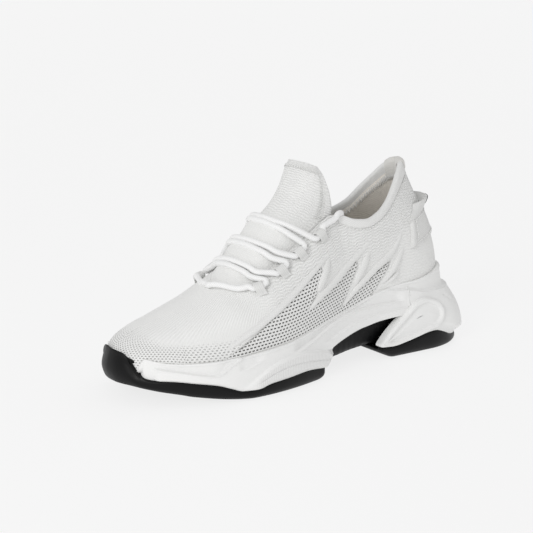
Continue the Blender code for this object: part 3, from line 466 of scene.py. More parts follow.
def rubber(name, code, roughness):
    # carbon rubber, compression moulded: satin black with a fine moulding grain
    made, tree, shader = newMaterial(name, code, roughness, IOR=1.38, Specular_IOR_Level=0.35)
    broad = speckle(tree, 14, 2)
    level = addNode(tree, "Math", (broad, 0.5), operation="MULTIPLY")
    level = addNode(tree, "Math", (speckle(tree, 0.5, 3), 0.4, level), operation="MULTIPLY_ADD")
    shadeBy(tree, shader, level, *shades["rubber"])
    rough = addNode(tree, "Math", (broad, 0.2, roughness - 0.1), operation="MULTIPLY_ADD")
    tree.links.new(rough, shader.inputs["Roughness"])
    return made


def webbing(name, high, low):
    # woven polyester tape: cross ribs 0.9 mm apart
    made, tree, shader = newMaterial(name, high, 0.7, Sheen_Weight=0.15)
    u, v = clothAxes(tree)
    level = addNode(tree, "Math", (wave(tree, u, 0.9), 0.35), operation="MULTIPLY")
    for part, share in ((wave(tree, v, 1.4), 0.2), (speckle(tree, 0.8), 0.4)):
        level = addNode(tree, "Math", (part, share, level), operation="MULTIPLY_ADD")
    # painted shade: the valleys between the woven ribs get the darker colour; the speckle is random tone
    shadeBy(tree, shader, level, high, low, 0.2, 0.7)
    return made


def braid():
    # braided round polyester cord: two sets of strands crossing at 45 degrees, 1.6 mm apart
    made, tree, shader = newMaterial("braidedPolyesterCord", "#f4f4f3", 0.68, Sheen_Weight=0.15)
    strands = crossed(tree, 1.57, "MAXIMUM")
    level = addNode(tree, "Math", (strands, 0.45, 0.5), operation="MULTIPLY_ADD")
    # painted shade: the gaps between the crossing strands get the darker colour
    shadeBy(tree, shader, level, *shades["cord"])
    return made


def liningKnit():
    # grey spacer mesh inside the collar: small open cells 1.8 mm apart
    made, tree, shader = newMaterial("greySpacerMesh", "#a8a49c", 0.92, Sheen_Weight=0.2)
    cells = crossed(tree, 2.5, "MULTIPLY")
    level = addNode(tree, "Math", (cells, -0.5, 0.65), operation="MULTIPLY_ADD")
    level = addNode(tree, "Math", (speckle(tree, 3), 0.3, level), operation="MULTIPLY_ADD")
    # painted shade: the open cells get the darker colour; the speckle is random tone
    shadeBy(tree, shader, level, *shades["lining"])
    return made


looks = {
    "knit": whiteKnit(), "plain": plainKnit(), "foam": foam(), "lining": liningKnit(), "cord": braid(),
    "rubber": rubber("mouldedCarbonRubber", "#1d1d1f", 0.4),
    "arch": rubber("mouldedArchRubber", "#19191b", 0.5),
    "tape": webbing("wovenPolyesterTape", "#f4f4f3", "#cfcfcd"),
    "label": webbing("wovenBlackLabel", "#26262a", "#141416"),
    "satin": webbing("brushedTricotPatch", "#e9e8e5", "#cfcdc8"),
    "thread": webbing("sewingThread", "#f6f6f5", "#dcdcda"),
}
print("materials made")


def mappedGrid(columns, rows, place, cloth=None, masks=None):
    # flat grid whose points are moved to place(u, w); cloth gives the fabric's own mm, masks values by point
    bm = bmesh.new()
    bmesh.ops.create_grid(bm, x_segments=columns, y_segments=rows, size=0.5)
    uv = bm.loops.layers.uv.new("cloth")
    layers = {name: bm.verts.layers.float.new(name) for name in (masks or {})}
    for face in bm.faces:
        for loop in face.loops:
            u, w = loop.vert.co.x + 0.5, loop.vert.co.y + 0.5
            loop[uv].uv = cloth(u, w) if cloth else (u * columns, w * rows)
    flat = [(vert, vert.co.x + 0.5, vert.co.y + 0.5) for vert in bm.verts]
    for vert, u, w in flat:
        vert.co = place(u, w)
        for name, layer in layers.items():
            vert[layer] = masks[name](u, w)
    bmesh.ops.remove_doubles(bm, verts=bm.verts, dist=0.01)
    bmesh.ops.dissolve_degenerate(bm, edges=bm.edges, dist=0.01)
    return bm


def finishPiece(name, bm, look, body="shoe", stands=(), modifiers=(), ride=True):
    bmesh.ops.recalc_face_normals(bm, faces=bm.faces)
    bmesh.ops.scale(bm, vec=(mm, mm, mm), verts=bm.verts)
    for face in bm.faces:
        face.smooth = True
    mesh = bpy.data.meshes.new(name)
    bm.to_mesh(mesh)
    bm.free()
    mesh.materials.append(looks[look])
    made = bpy.data.objects.new(name, mesh)
    bpy.context.scene.collection.objects.link(made)
    for kind, settings in modifiers:
        added = made.modifiers.new(kind.title(), kind)
        for key, value in settings.items():
            setattr(added, key, value)
    if stands:
        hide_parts(*stands)
    if ride:
        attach(made, body)
    return made


def settled(piece):
    # the piece's modifiers made real
    graph = bpy.context.evaluated_depsgraph_get()
    mesh = bpy.data.meshes.new_from_object(piece.evaluated_get(graph))
    piece.modifiers.clear()
    piece.data = mesh
    return piece


def solid(thickness, offset=-1.0):
    return ("SOLIDIFY", {"thickness": thickness * mm, "offset": offset, "use_even_offset": False})


def rounded(levels=1):
    return ("SUBSURF", {"levels": levels, "render_levels": levels})


def sweep(frames, sides, squareness=1.0):
    # closed tube through (centre, across, up, half width, half height); both ends close to a point
    last = len(frames) - 1
    run = [0.0]
    for a, b in zip(frames, frames[1:]):
        run.append(run[-1] + (b[0] - a[0]).length)

    def place(u, w):
        centre, across, up, wide, high = frames[min(last, round(u * last))]
        turn = 2 * math.pi * w
        a = math.copysign(abs(math.cos(turn)) ** squareness, math.cos(turn))
        b = math.copysign(abs(math.sin(turn)) ** squareness, math.sin(turn))
        return centre + across * (a * wide) + up * (b * high)

    def cloth(u, w):
        around = 2 * math.pi * max(frames[last // 2][3], 0.5)
        return run[min(last, round(u * last))], w * around
    return mappedGrid(last, sides, place, cloth)


def cordFrames(points, radius):
    # frames carried along the line without twist, with both ends rounded off
    frames = []
    up = Vector((0, 0, 1))
    count = len(points)
    for i, p in enumerate(points):
        way = (points[min(i + 1, count - 1)] - points[max(i - 1, 0)]).normalized()
        up = (up - way * up.dot(way)).normalized()
        across = way.cross(up).normalized()
        frames.append([p, across, up, radius, radius])
    first, final = frames[0], frames[-1]
    for end, other in ((first, frames[1]), (final, frames[-2])):
        out = (end[0] - other[0]).normalized()
        ring = [[end[0] + out * radius * 0.6, end[1], end[2], radius * 0.75, radius * 0.75],
                [end[0] + out * radius * 0.95, end[1], end[2], 0.0, 0.0]]
        frames = (ring[::-1] + frames) if end is first else (frames + ring)
    return frames


def stitches(name, runs, radius=0.32, body="shoe"):
    # each stitch is a short bent thread; a run is a list of points and the thread's ends sink into the cloth
    curve = bpy.data.curves.new(name, "CURVE")
    curve.dimensions = "3D"
    curve.bevel_depth = radius * mm
    curve.bevel_resolution = 1
    curve.use_fill_caps = True
    for points in runs:
        spline = curve.splines.new("POLY")
        spline.points.add(len(points) - 1)
        for target, p in zip(spline.points, points):
            target.co = (*(p * mm), 1)
    holder = bpy.data.objects.new(name + "Line", curve)
    bpy.context.scene.collection.objects.link(holder)
    graph = bpy.context.evaluated_depsgraph_get()
    mesh = bpy.data.meshes.new_from_object(holder.evaluated_get(graph))
    bpy.data.objects.remove(holder)
    mesh.name = name
    mesh.uv_layers.new(name="cloth")
    mesh.materials.clear()
    mesh.materials.append(looks["thread"])
    made = bpy.data.objects.new(name, mesh)
    bpy.context.scene.collection.objects.link(made)
    if body:
        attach(made, body)
    return made


def stitchRow(line, lift, length=2.4, gap=1.0):
    # line(t) from 0 to 1 gives a point and its outward direction
    samples = [line(i / 400) for i in range(401)]
    run = [0.0]
    for a, b in zip(samples, samples[1:]):
        run.append(run[-1] + (b[0] - a[0]).length)
    out = []
    start = gap
    while start + length < run[-1]:
        places = []
        for share, up in ((0, -0.2), (0.3, 1.0), (0.7, 1.0), (1, -0.2)):
            t = float(np.interp(start + length * share, run, np.linspace(0, 1, 401)))
            p, n = line(t)
            places.append(p + n * lift * up)
        out.append(places)
        start += length + gap
    return out


knitUpper = {
    "columns": 580, "rows": 76, "thickness": 1.3, "netDrop": 1.5,
    # outline of the open mesh by station and height: along each rib up to a finger's top and back down
    "net": [(86, 26), (41.7, 51.6), (10.0, 70.4), (-5.5, 79.6), (-6.0, 74.3), (-1.7, 67.0), (4.0, 59.5),
            (12.0, 51.6), (3, 56.5), (-12.2, 65.1), (-27.3, 72.2), (-40, 78.4), (-40.5, 73.1), (-35.8, 66.8),
            (-32.2, 61.0), (-26.9, 52.6), (-23.0, 47.0), (-31.3, 50.5), (-44.2, 60.0), (-58.7, 67.8),
            (-72.5, 73.8), (-70, 68.6), (-62.0, 59.8), (-52.5, 49), (-60, 40), (0, 25), (86, 20)],
}


def pathOf(u):
    # round the whole shoe: outer side from heel to toe, then the inner side back
    p = u * 2 - 1
    return round(170 - 340 * abs(p), 3), (1 if p <= 0 else -1)


def clothLength(s, side):
    a, b, c, d = upperColumn(round(s, 3), side)
    return (b - a).length + (c - b).length + (d - c).length


def upperTop(s):
    return mix(1.0, 0.968, smooth(-s, 21, 30))


def upperGrid():
    shape = knitUpper
    spots = {}
    samples = []
    for i in range(shape["columns"] + 1):
        u = i / shape["columns"]
        s, side = pathOf(u)
        for j in range(shape["rows"] + 1):
            v = upperTop(s) * j / shape["rows"]
            p = upperSpot(s, side, v)
            spots[i, j] = (s, side, v, p, len(samples))
            samples.append((s, p.z))
    netGap = distanceTo(np.array(samples), shape["net"])

    def spotOf(u, w):
        return spots[round(u * shape["columns"]), round(w * shape["rows"])]

    def place(u, w):
        s, side, v, p, index = spotOf(u, w)
        out = -shape["netDrop"] * smooth(-netGap[index], -0.2, 1.2)
        throat = smooth(v, 0.9, 1.0) * smooth(s, -24, -16) * smooth(-s, -66, -60)
        out -= 1.3 * throat
        # groove of the stitch line under the collar's hem
        collar = smooth(-s, 24, 32)
        out -= 0.9 * collar * math.exp(-((v - 0.888) / 0.012) ** 2)
        out += 0.5 * collar * smooth(v, 0.9, 0.93) * smooth(-v, -1.0, -0.96)
        return p + upperNormal(s, side, v) * out

    def cloth(u, w):
        s, side, v, p, index = spotOf(u, w)
        return (s if side > 0 else 340 - s), v * clothLength(s, side)

    def ripple(u, w):
        s, side, v, p, index = spotOf(u, w)
        toe = smooth(-s, -62, -25)
        rise = 0.35 + 0.65 * smooth(v, 0.45, 0.65)
        return toe * rise * (1 - 0.75 * smooth(-s, 98, 112) * smooth(-v, -0.62, -0.5))

    def fan(u, w):
        s, side, v, p, index = spotOf(u, w)
        return smooth(s, 30, 60) * smooth(v, 0.3, 0.5)

    def eyelets(u, w):
        s, side, v, p, index = spotOf(u, w)
        rise = p.z - height("rim", s)
        return smooth(s, 58, 74) * smooth(-rise, -13.5, -5) * (1 - smooth(-netGap[index], -1.5, 0.5))

    def lining(u, w):
        return smooth(-netGap[spotOf(u, w)[4]], 0.3, 1.0)
    masks = {"ripple": ripple, "fan": fan, "eyelets": eyelets, "lining": lining}
    bm = mappedGrid(shape["columns"], shape["rows"], place, cloth, masks)
    stands = ("vamp", "quarter_lateral", "quarter_medial", "toe_puff", "heel_counter", "collar_foam")
    return finishPiece("knitUpper", bm, "knit", stands=stands,
                       modifiers=[solid(shape["thickness"])])


upperGrid()
print("knit upper")

# open netting over the sides: the grid's size in cells and rows, then lengths
netting = {"columns": 124, "rows": 32, "cell": 2.8, "row": 2.15, "yarn": 0.46, "thickness": 0.75, "reach": 0.35}


def nettingSide(side):
    shape = netting
    bm = bmesh.new()
    half = shape["cell"] / 2
    columns, rows = shape["columns"], shape["rows"]
    bmesh.ops.create_grid(bm, x_segments=columns, y_segments=rows, size=0.5)
    grid = {}
    for vert in bm.verts:
        grid[vert] = (round((vert.co.x + 0.5) * columns), round((vert.co.y + 0.5) * rows))
    # every second upright goes, staggered by row, which leaves bricks; shifting their middles makes hexagons
    spare = []
    for edge in bm.edges:
        (ai, aj), (bi, bj) = grid[edge.verts[0]], grid[edge.verts[1]]
        if ai == bi and 0 < ai < columns and (ai + min(aj, bj)) % 2 == 0:
            spare.append(edge)
    for vert, (i, j) in grid.items():
        shift = 0.17 * shape["row"] * (1 if (i + j) % 2 == 0 else -1)
        vert.co = (88 - i * half, j * shape["row"] + shift, 0)
    bmesh.ops.dissolve_edges(bm, edges=spare, use_verts=False)
    faces = list(bm.faces)
    centres = []
    for face in faces:
        c = face.calc_center_median()
        centres.append((c.x, height("rim", c.x) - 4.0 + c.y))
    gap = distanceTo(np.array(centres), knitUpper["net"])
    bmesh.ops.delete(bm, geom=[f for f, g in zip(faces, gap) if g > -shape["reach"]], context="FACES")
    whole = [f for f in bm.faces if len(f.verts) == 6]
    part = [f for f in bm.faces if len(f.verts) != 6]
    bmesh.ops.delete(bm, geom=part, context="FACES")
    bmesh.ops.inset_individual(bm, faces=whole, thickness=shape["yarn"], use_even_offset=True)
    bmesh.ops.delete(bm, geom=whole, context="FACES")
    uv = bm.loops.layers.uv.new("cloth")
    for face in bm.faces:
        for loop in face.loops:
            loop[uv].uv = (loop.vert.co.x, loop.vert.co.y)
    for vert in bm.verts:
        s = vert.co.x
        v = levelOf(s, side, height("rim", s) - 4.0 + vert.co.y)
        vert.co = upperAt(s, side, v, 0.15)
    bmesh.ops.delete(bm, geom=[v for v in bm.verts if not v.link_faces], context="VERTS")
    name = "sideNettingLateral" if side > 0 else "sideNettingMedial"
    return finishPiece(name, bm, "plain",
                       modifiers=[solid(shape["thickness"]), rounded()])


for side in (1, -1):
    nettingSide(side)
print("netting")

# raised ribs by station and height
ribs = {
    "front": [(0, 87, 31), (1, 68, 40.5), (2, 46, 51), (3, 25, 62.5), (4, 1, 77), (5, -24, 91.5)],
    "middle": [(0, 13, 50.5), (1, 3, 57.5), (2, -18, 68), (3, -38, 79.5), (4, -60, 94)],
    "rear": [(0, -23, 45.5), (1, -34, 55), (2, -55, 69), (3, -75, 80), (4, -95, 98.5)],
    "halfWidth": 2.4, "height": 2.1, "count": 90,
    # short padded branches behind each opening: line by station and height, half width
    "branches": [([(0, -15.5, 85), (1, -9.5, 77), (2, -2.8, 68.5), (3, 3, 61)], 2.6),
                 ([(0, -53, 85), (1, -47, 76), (2, -40.5, 67), (3, -34, 57)], 2.7),
                 ([(0, -90, 84), (1, -79, 72.5), (2, -69, 62.5), (3, -59.5, 55)], 2.1),
                 ([(0, -82, 66), (1, -73, 60), (2, -66, 56.5)], 1.5)],
}


def ribPiece(name, side, line, half, rise, stands=()):
    count = ribs["count"]
    frames = []
    for i in range(count + 1):
        t = i / count
        spots = []
        for share in (t, min(t + 0.015, 1.0), max(t - 0.015, 0.0)):
            s, z = curveThrough(line, share * line[-1][0])
            spots.append((s, levelOf(s, side, z)))
        s, v = spots[0]
        n = upperNormal(s, side, v)
        ahead, behind = (upperSpot(spots[k][0], side, spots[k][1]) for k in (1, 2))
        along = (ahead - behind).normalized()
        across = n.cross(along).normalized()
        size = math.sin(math.pi * min(max(t, 0.0), 1.0)) ** 0.5 if 0 < t < 1 else 0.0
        fade = 0.55 + 0.45 * math.sin(math.pi * t)
        foot = upperSpot(s, side, v) - n * (0.25 + 1.2 * (1 - size))
        frames.append([foot, across, n, half * size, rise * size * fade + 0.01])
    bm = sweep(frames, 20, 0.8)
    return finishPiece(name, bm, "plain", stands=stands)


for side, label in ((1, "Lateral"), (-1, "Medial")):
    for place in ("front", "middle", "rear"):
        ribPiece("rib%s%s" % (place.title(), label), side, ribs[place], ribs["halfWidth"], ribs["height"] + 0.4,
                 ("rib_%s_%s" % (label.lower(), place),))
    for number, (line, half) in enumerate(ribs["branches"]):
        ribPiece("ribBranch%d%s" % (number + 1, label), side, line, half, ribs["height"] + 0.2)
print("ribs")

midsole = {
    "columns": 720, "wallRows": 66,
    # crease lines by station and height; the wall steps in above each
    "ledge": [(66, 34), (73, 27.5), (79, 24.2), (84, 20.8), (88.7, 19.2), (97, 20.5), (112.5, 23.3),
              (130.6, 25.6), (150, 26.5), (170, 26.5)],
    "innerRidge": [(52, 27.5), (60, 24.0), (68, 21.5), (74, 20.5)],
    "longRidge": [(-84, 41.2), (-76.5, 41.4), (-63.5, 41.6), (-38, 41.4), (-11, 36.4), (17, 27.8), (30, 25.5)],
    "heelLedge": [(-170, 43.5), (-140, 44.5), (-117, 45.2), (-105, 45.6), (-87, 49), (-73, 50.6), (-66, 51)],
    "lowerLine": [(-95, 36.5), (-80, 36.2), (-60, 35.6), (-38, 33.8), (-15, 28.5), (0, 24)],
    "podTop": [(-14, 13), (-10, 18.6), (-5, 20.6), (8, 24.0), (22, 25.9), (34, 25.2), (48, 22.0), (60, 16),
               (68, 11), (73, 7.5)],
    "podGroove": [(-10, 13.5), (0, 15.2), (15, 17.6), (30, 18.6), (45, 16.6), (58, 12.2), (66, 9)],
    "podOut": 2.9, "heelSwell": 5.2, "vents": ((-124, 39.5), (-129, 36.0)),
    # how much of the wall's lean is reached at each share of its height
    "lean": [(0, 0.0), (0.1, 0.0), (0.22, 0.05), (0.37, 0.2), (0.5, 0.36), (0.63, 0.55), (0.77, 0.78),
             (0.9, 0.95), (1.0, 1.0)],
}


def crease(line, s, z, fadeLow, fadeHigh, amount, bead, width=1.1):
    # inward step above the line and a small raised bead on it; fades at the line's ends
    rows = midsole[line]
    if s < rows[0][0] or s > rows[-1][0]:
        return 0.0
    gap = z - curveThrough(rows, s)[0]
    fade = smooth(s, rows[0][0], rows[0][0] + fadeLow) if fadeLow else 1.0
    fade *= (1 - smooth(s, rows[-1][0] - fadeHigh, rows[-1][0])) if fadeHigh else 1.0
    step = smooth(gap, -0.2, width)
    decay = 1 - 0.75 * smooth(gap, width, width + 9)
    return fade * (amount * step * decay - bead * math.exp(-((gap + 0.3) / 0.8) ** 2))


def foamUnderside(s):
    if s >= -3:
        low, edge = height("groundFore", s), height("edgeFore", s)
        return low + min(4.5, edge - low - 0.8) + 0.4, min(edge + 0.25, height("rim", s) - 0.9)
    if s <= -87:
        low, edge = height("groundHeel", s), height("edgeHeel", s)
        return low + min(4.5, edge - low - 0.8) + 0.4, edge + 0.25
    arch = height("archTop", s)
    # the wall runs down to the arch; its last stretch turns down into the heel and the ball
    arch -= 9.5 * smooth(s, -12, -3.4)
    return arch, arch + 0.3


def podShape(s, z):
    # outrigger beside the ball of the foot: outward swell, and 1 where its ribbed skin is
    if s < -13.5 or s > 72.5:
        return 0.0, 0.0
    top = curveThrough(midsole["podTop"], s)[0]
    below = top - z
    if below <= 0:
        return 0.0, 0.0
    swell = midsole["podOut"] * smooth(below, 0, 1.8) * smooth(s, -13.5, -8) * (1 - smooth(s, 58, 72.5))
    swell *= 0.82 + 0.18 * math.cos(min(below, 14) / 14 * math.pi)
    groove = z - curveThrough(midsole["podGroove"], min(max(s, -10), 66))[0]
    swell -= 0.75 * math.exp(-(groove / 0.55) ** 2) * smooth(s, -9, -3) * (1 - smooth(s, 54, 66))
    return swell, smooth(below, 1.2, 2.6) * smooth(s, -12, -8) * (1 - smooth(s, 56, 66))


def wallInset(s, side, z, low, rim):
    deep = depth(s, side)
    # over the arch the lean carries on towards the heel's own lower edge, so that the wall has no step there
    base = mix(low, 10.9, smooth(-s, 40, 87)) if -87 < s < -3 else low
    share = (z - base) / max(rim - base, 1.0)
    tilt = curveThrough(midsole["lean"], share)[0]
    fore = smooth(s, 58, 84)
    tilt = mix(tilt, 0.1 + 0.85 * smooth(share, 0.3, 1.0), fore)
    inset = max(deep - 2.9, 0.0) * tilt
    inset += 0.9 * (1 - min(share * 9, 1)) ** 2
    inset += crease("ledge", s, z, 2, 0, 2.8, 0.5, 0.8)
    inset += crease("innerRidge", s, z, 8, 6, 1.3, 0.4, 0.8)
    inset += crease("longRidge", s, z, 8, 10, 2.5, 0.6, 0.9)
    inset += crease("heelLedge", s, z, 0, 9, 2.2, 0.6, 0.9)
    inset += crease("lowerLine", s, z, 14, 12, 1.3, 0.3, 0.9)
    # slanted vents at the back corner
    for middle, level in midsole["vents"]:
        along = (s - middle) + (z - level) * 1.4
        across = (z - level) - (s - middle) * 0.45
        inset += 1.1 * math.exp(-(along / 3.4) ** 2 - (across / 0.9) ** 2)
    # the heel swells out above the rubber
    swollen = smooth(-s, 108, 136) * smooth(z, low + 0.5, low + 7) * (1 - 0.8 * smooth(z, 24, 52))
    inset -= midsole["heelSwell"] * swollen
    # lip hugging the knit
    inset -= 0.5 * math.exp(-((z - rim + 1.0) / 0.9) ** 2)
    swell, skin = podShape(s, z)
    toe = smooth(s, 126, 136)
    inset = mix(inset - swell, max(inset, 5.4), toe)
    return min(inset, deep - 0.9 + 2.6 * smooth(s, 137, 144)), skin


def midsolePiece():
    columns = midsole["columns"]
    wallRows = midsole["wallRows"]
    rows = wallRows + 6
    cache = {}

    def spot(u, w):
        key = (round(u * columns), round(w * rows))
        if key in cache:
            return cache[key]
        s, side = pathOf(key[0] / columns)
        row = key[1]
        under, low = foamUnderside(s)
        toe = smooth(s, 126, 136)
        rim = mix(height("rim", s), 23.0, smooth(s, 137, 145))
        deep = depth(s, side)
        skin = 0.0
        middle = at(s, 1, 30, 0).y * 0.5 + at(s, -1, 30, 0).y * 0.5
        if row <= 1:
            flat = at(s, side, 8.6 if -87 < s < -3 else 5.8, under)
            point = flat if row == 1 else Vector((flat.x, middle, under))
        elif row <= wallRows + 2:
            share = (row - 2) / wallRows
            z = mix(low, rim, share)
            inset, skin = wallInset(s, side, z, low, rim)
            point = at(s, side, inset, z)
        elif row == wallRows + 3:
            point = at(s, side, deep - 0.2, rim - 0.1)
        else:
            v = {wallRows + 4: 0.6, wallRows + 5: 0.0}.get(row, 0.0) * levelOf(s, side, rim)
            point = upperAt(s, side, v, 0.3)
            point.z = height("bed", s) if row > wallRows + 4 else point.z
            if row == rows:
                point = Vector((point.x, middle, point.z))
        cache[key] = (point, s, side, skin)
        return cache[key]

    def cloth(u, w):
        point, s, side, skin = spot(u, w)
        return (s if side > 0 else 340 - s), point.z
    masks = {"ribbed": lambda u, w: spot(u, w)[3]}
    bm = mappedGrid(columns, rows, lambda u, w: spot(u, w)[0].copy(), cloth, masks)
    return finishPiece("foamMidsole", bm, "foam", stands=("midsole",))


midsolePiece()

# leaf-shaped pod on each side of the heel, by station and height
heelFin = {
    "outline": [(-59.5, 11.2), (-67, 9.7), (-76, 9.7), (-94, 13.0), (-106, 15.9), (-113, 18), (-117.8, 24),
                (-117.4, 31), (-112.5, 37.7), (-105, 41.0), (-98, 41.6), (-90, 38.7), (-82, 32.2), (-72, 24.5),
                (-64, 17.2)],
    "middle": [(-63, 12.8), (-72, 16), (-84, 22.5), (-95, 28.5), (-105, 29)],
    # distance in from the outline and how far it stands out there
    "profile": [(0.0, -5), (0.0, -2.0), (0.0, 0.6), (0.35, 1.5), (0.9, 2.15), (1.7, 2.4), (2.6, 2.3),
                (3.3, 1.9), (3.8, 1.0), (4.2, 0.55), (5.2, 0.5), (7.0, 0.9), (9.5, 1.3), (13.0, 1.5)],
    "centreOut": 1.5,
}


def heelFinPiece(side):
    ring = evenly([Vector((*p, 0)) for p in heelFin["outline"]], 0.9, closed=True)
    spine = evenly([Vector((*p, 0)) for p in heelFin["middle"]], 0.5)
    profile = heelFin["profile"]

    def place(u, w):
        start = ring[round(u * (len(ring) - 1))]
        inner = min(spine, key=lambda p: (p - start).length)
        reach = (inner - start).length
        k = round(w * len(profile))
        if k == len(profile):
            way, stand = reach, heelFin["centreOut"]
        else:
            way, stand = profile[k]
            way = min(way, reach * (0.3 + 0.7 * k / len(profile))) if way else 0.0
        if k > 5:
            stand = mix(2.3, stand, smooth(reach, 3.5, 7.0))
        p = start + (inner - start) * (way / max(reach, 0.01))
        return at(p.x, side, -stand, p.y)
    bm = mappedGrid(len(ring) - 1, len(profile), place, lambda u, w: (u * 150, w * 30))
    name = "heelFinLateral" if side > 0 else "heelFinMedial"
    return finishPiece(name, bm, "foam")


for side in (1, -1):
    heelFinPiece(side)
print("midsole")

# rubber pads
pads = {"plate": 4.5, "step": 3.0}


def padPiece(name, toeEnd, backStation, ground, edge, lip, node):
    tip = 170.0 if toeEnd else -170.0
    length = abs(tip - backStation)
    columns = 2 * round(length / pads["step"])
    levels = [("centreTop", 0), ("plate", 5.2), ("in", 5.0), ("lip", 4.6), ("rise", 4.4), ("top", 4.2),
              ("top", 2.6), ("top", 1.35), ("bevel", 0.75), ("upper", 0.3), ("middle", 0.0), ("lower", 0.6),
              ("low", 1.7), ("corner", 2.7), ("ground", 5.0), ("ground", 9.0), ("centreLow", 0)]
    rows = len(levels) - 1

    def spot(u, w):
        p = u * 2 - 1
        s = round(tip - (tip - backStation) * abs(p), 3)
        side = 1 if p <= 0 else -1
        level, inset = levels[round(w * rows)]
        low, top = height(ground, s), height(edge, s)
        plate = low + min(pads["plate"], top - low - 0.8)
        toe = smooth(s, 138, 147) if lip else 0.0
        deep = depth(s, side)
        z = {"centreTop": plate, "plate": plate, "in": mix(top - 0.55, 28.1, toe),
             "lip": mix(top - 0.3, 28.5, toe), "rise": mix(top - 0.15, 33.0, toe), "top": top,
             "bevel": top - 0.55, "upper": mix(low, top, 0.8),
             "middle": mix(low, top, 0.45), "lower": mix(low, top, 0.25), "low": mix(low, top, 0.1),
             "corner": low, "ground": low, "centreLow": low}[level]
        if level == "lip":
            inset = mix(inset, deep - 0.9, toe)
        if level in ("upper", "bevel"):
            inset = mix(inset, {"upper": 1.9, "bevel": 2.9}[level], toe)
        point = at(s, side, inset, z)
        if level in ("rise", "top") and toe > 0:
            v = levelOf(s, side, z)
            out = {4.4: 0.3, 4.2: 0.3, 2.6: 1.4, 1.35: 2.6}[inset if inset in (4.4, 4.2, 2.6, 1.35) else 4.2]
            point = point.lerp(upperAt(s, side, v, out), toe)
        if level in ("centreTop", "centreLow"):
            middle = (at(s, 1, 6, 0) + at(s, -1, 6, 0)) / 2
            point = Vector((middle.x, middle.y, z))
        return point
    bm = mappedGrid(columns, rows, spot, lambda u, w: (u * length, w * 40))
    bmesh.ops.holes_fill(bm, edges=[e for e in bm.edges if e.is_boundary])
    bmesh.ops.triangulate(bm, faces=[f for f in bm.faces if len(f.verts) > 4])
    return finishPiece(name, bm, "rubber", stands=(node,), modifiers=[rounded()])


padPiece("forefootPad", True, -3.0, "groundFore", "edgeFore", True, "outsole_forefoot")
padPiece("heelPad", False, -61.0, "groundHeel", "edgeHeel", False, "outsole_heel")


def fromNode(name, nodeName, look, modifiers, body="shoe", creaseAngle=40):
    # a smooth copy of a CAD solid: its loose triangles are merged into quads first
    bm = bmesh.new()
    bm.from_mesh(nodes[nodeName].data)
    bmesh.ops.scale(bm, vec=(1 / mm,) * 3, verts=bm.verts)
    bmesh.ops.remove_doubles(bm, verts=bm.verts, dist=0.01)
    bmesh.ops.join_triangles(bm, faces=bm.faces, angle_face_threshold=0.5, angle_shape_threshold=1.2)
    creases = bm.edges.layers.float.get("crease_edge") or bm.edges.layers.float.new("crease_edge")
    for edge in bm.edges:
        if len(edge.link_faces) == 2 and edge.calc_face_angle(0) > math.radians(creaseAngle):
            edge[creases] = 0.55
    uv = bm.loops.layers.uv.get("cloth") or bm.loops.layers.uv.new("cloth")
    for face in bm.faces:
        for loop in face.loops:
            loop[uv].uv = (loop.vert.co.x, loop.vert.co.y + loop.vert.co.z)
    return finishPiece(name, bm, look, body=body, stands=(nodeName,), modifiers=modifiers)


fromNode("archBlock", "arch_shank", "arch", [rounded()])
fromNode("strobelBoard", "strobel_board", "satin", [])
footBed = fromNode("insolePad", "insole", "lining", [rounded()], body="insole")
print("rubber and board")

# lining and collar; sections are rows of level on the upper and distance out
collar = {
    "columns": 300,
    "hem": [(0.905, 0.15), (0.925, 0.55), (0.95, 0.85), (0.975, 0.9), (0.993, 0.55), (1.003, -0.5),
            (1.005, -1.6), (1.0, -2.8), (0.985, -3.7), (0.96, -4.1), (0.93, -4.3), (0.90, -4.5), (0.875, -4.9)],
    "cap": [(0.875, -5.9), (0.92, -5.6), (0.955, -5.2), (0.98, -4.6), (0.995, -3.7), (1.004, -2.2),
            (1.005, -0.6), (0.998, 0.9), (0.98, 1.4), (0.96, 1.3), (0.935, 0.9)],
}


def heelPath(u, front):
    p = u * 2 - 1
    return round(-170 + (170 - front) * abs(p), 3), (1 if p <= 0 else -1)


def sectionSpot(section, s, side, w):
    k = w * (len(section) - 1)
    i = min(int(k), len(section) - 2)
    v, out = (mix(section[i][n], section[i + 1][n], k - i) for n in (0, 1))
    return upperAt(s, side, v, out)


def liningPiece():
    def place(u, w):
        s, side = heelPath(u, 24)
        v = mix(0.12, 0.95, w)
        out = -mix(3.8, 6.0, smooth(v, 0.42, 0.6)) + 2.4 * smooth(v, 0.86, 0.95)
        return upperAt(s, side, v, out)

    def cloth(u, w):
        s, side = heelPath(u, 24)
        return (s if side > 0 else -340 - s), w * 90
    bm = mappedGrid(220, 60, place, cloth)
    return finishPiece("collarLining", bm, "lining", stands=("heel_lining",),
                       modifiers=[solid(0.8)])


def collarRoll():
    # folded knit hem round the collar, from the outer stitch line over the top and down inside
    def place(u, w):
        return sectionSpot(collar["hem"], *heelPath(u, 29), w)

    def cloth(u, w):
        s, side = heelPath(u, 29)
        return (s if side > 0 else -340 - s), w * 22
    bm = mappedGrid(collar["columns"], 36, place, cloth)
    return finishPiece("collarHem", bm, "plain", stands=("collar_hem",),
                       modifiers=[solid(0.7)])


liningPiece()
collarRoll()


def capPiece():
    def place(u, w):
        return sectionSpot(collar["cap"], *heelPath(u, 136), w)
    bm = mappedGrid(26, 36, place, lambda u, w: (u * 18, w * 24))
    return finishPiece("heelTabPatch", bm, "satin", stands=("collar_cap",),
                       modifiers=[solid(0.8, 0.0), rounded()])


capPiece()


# dotted stitch line under the hem, and zigzag rows inside the far wall
def hemLine(v, out, front=26.0, back=170.0):
    def line(t):
        p = t * 2 - 1
        s = -back + (back - front) * abs(p)
        side = 1 if p <= 0 else -1
        return upperAt(s, side, v, out), upperNormal(s, side, v)
    return line


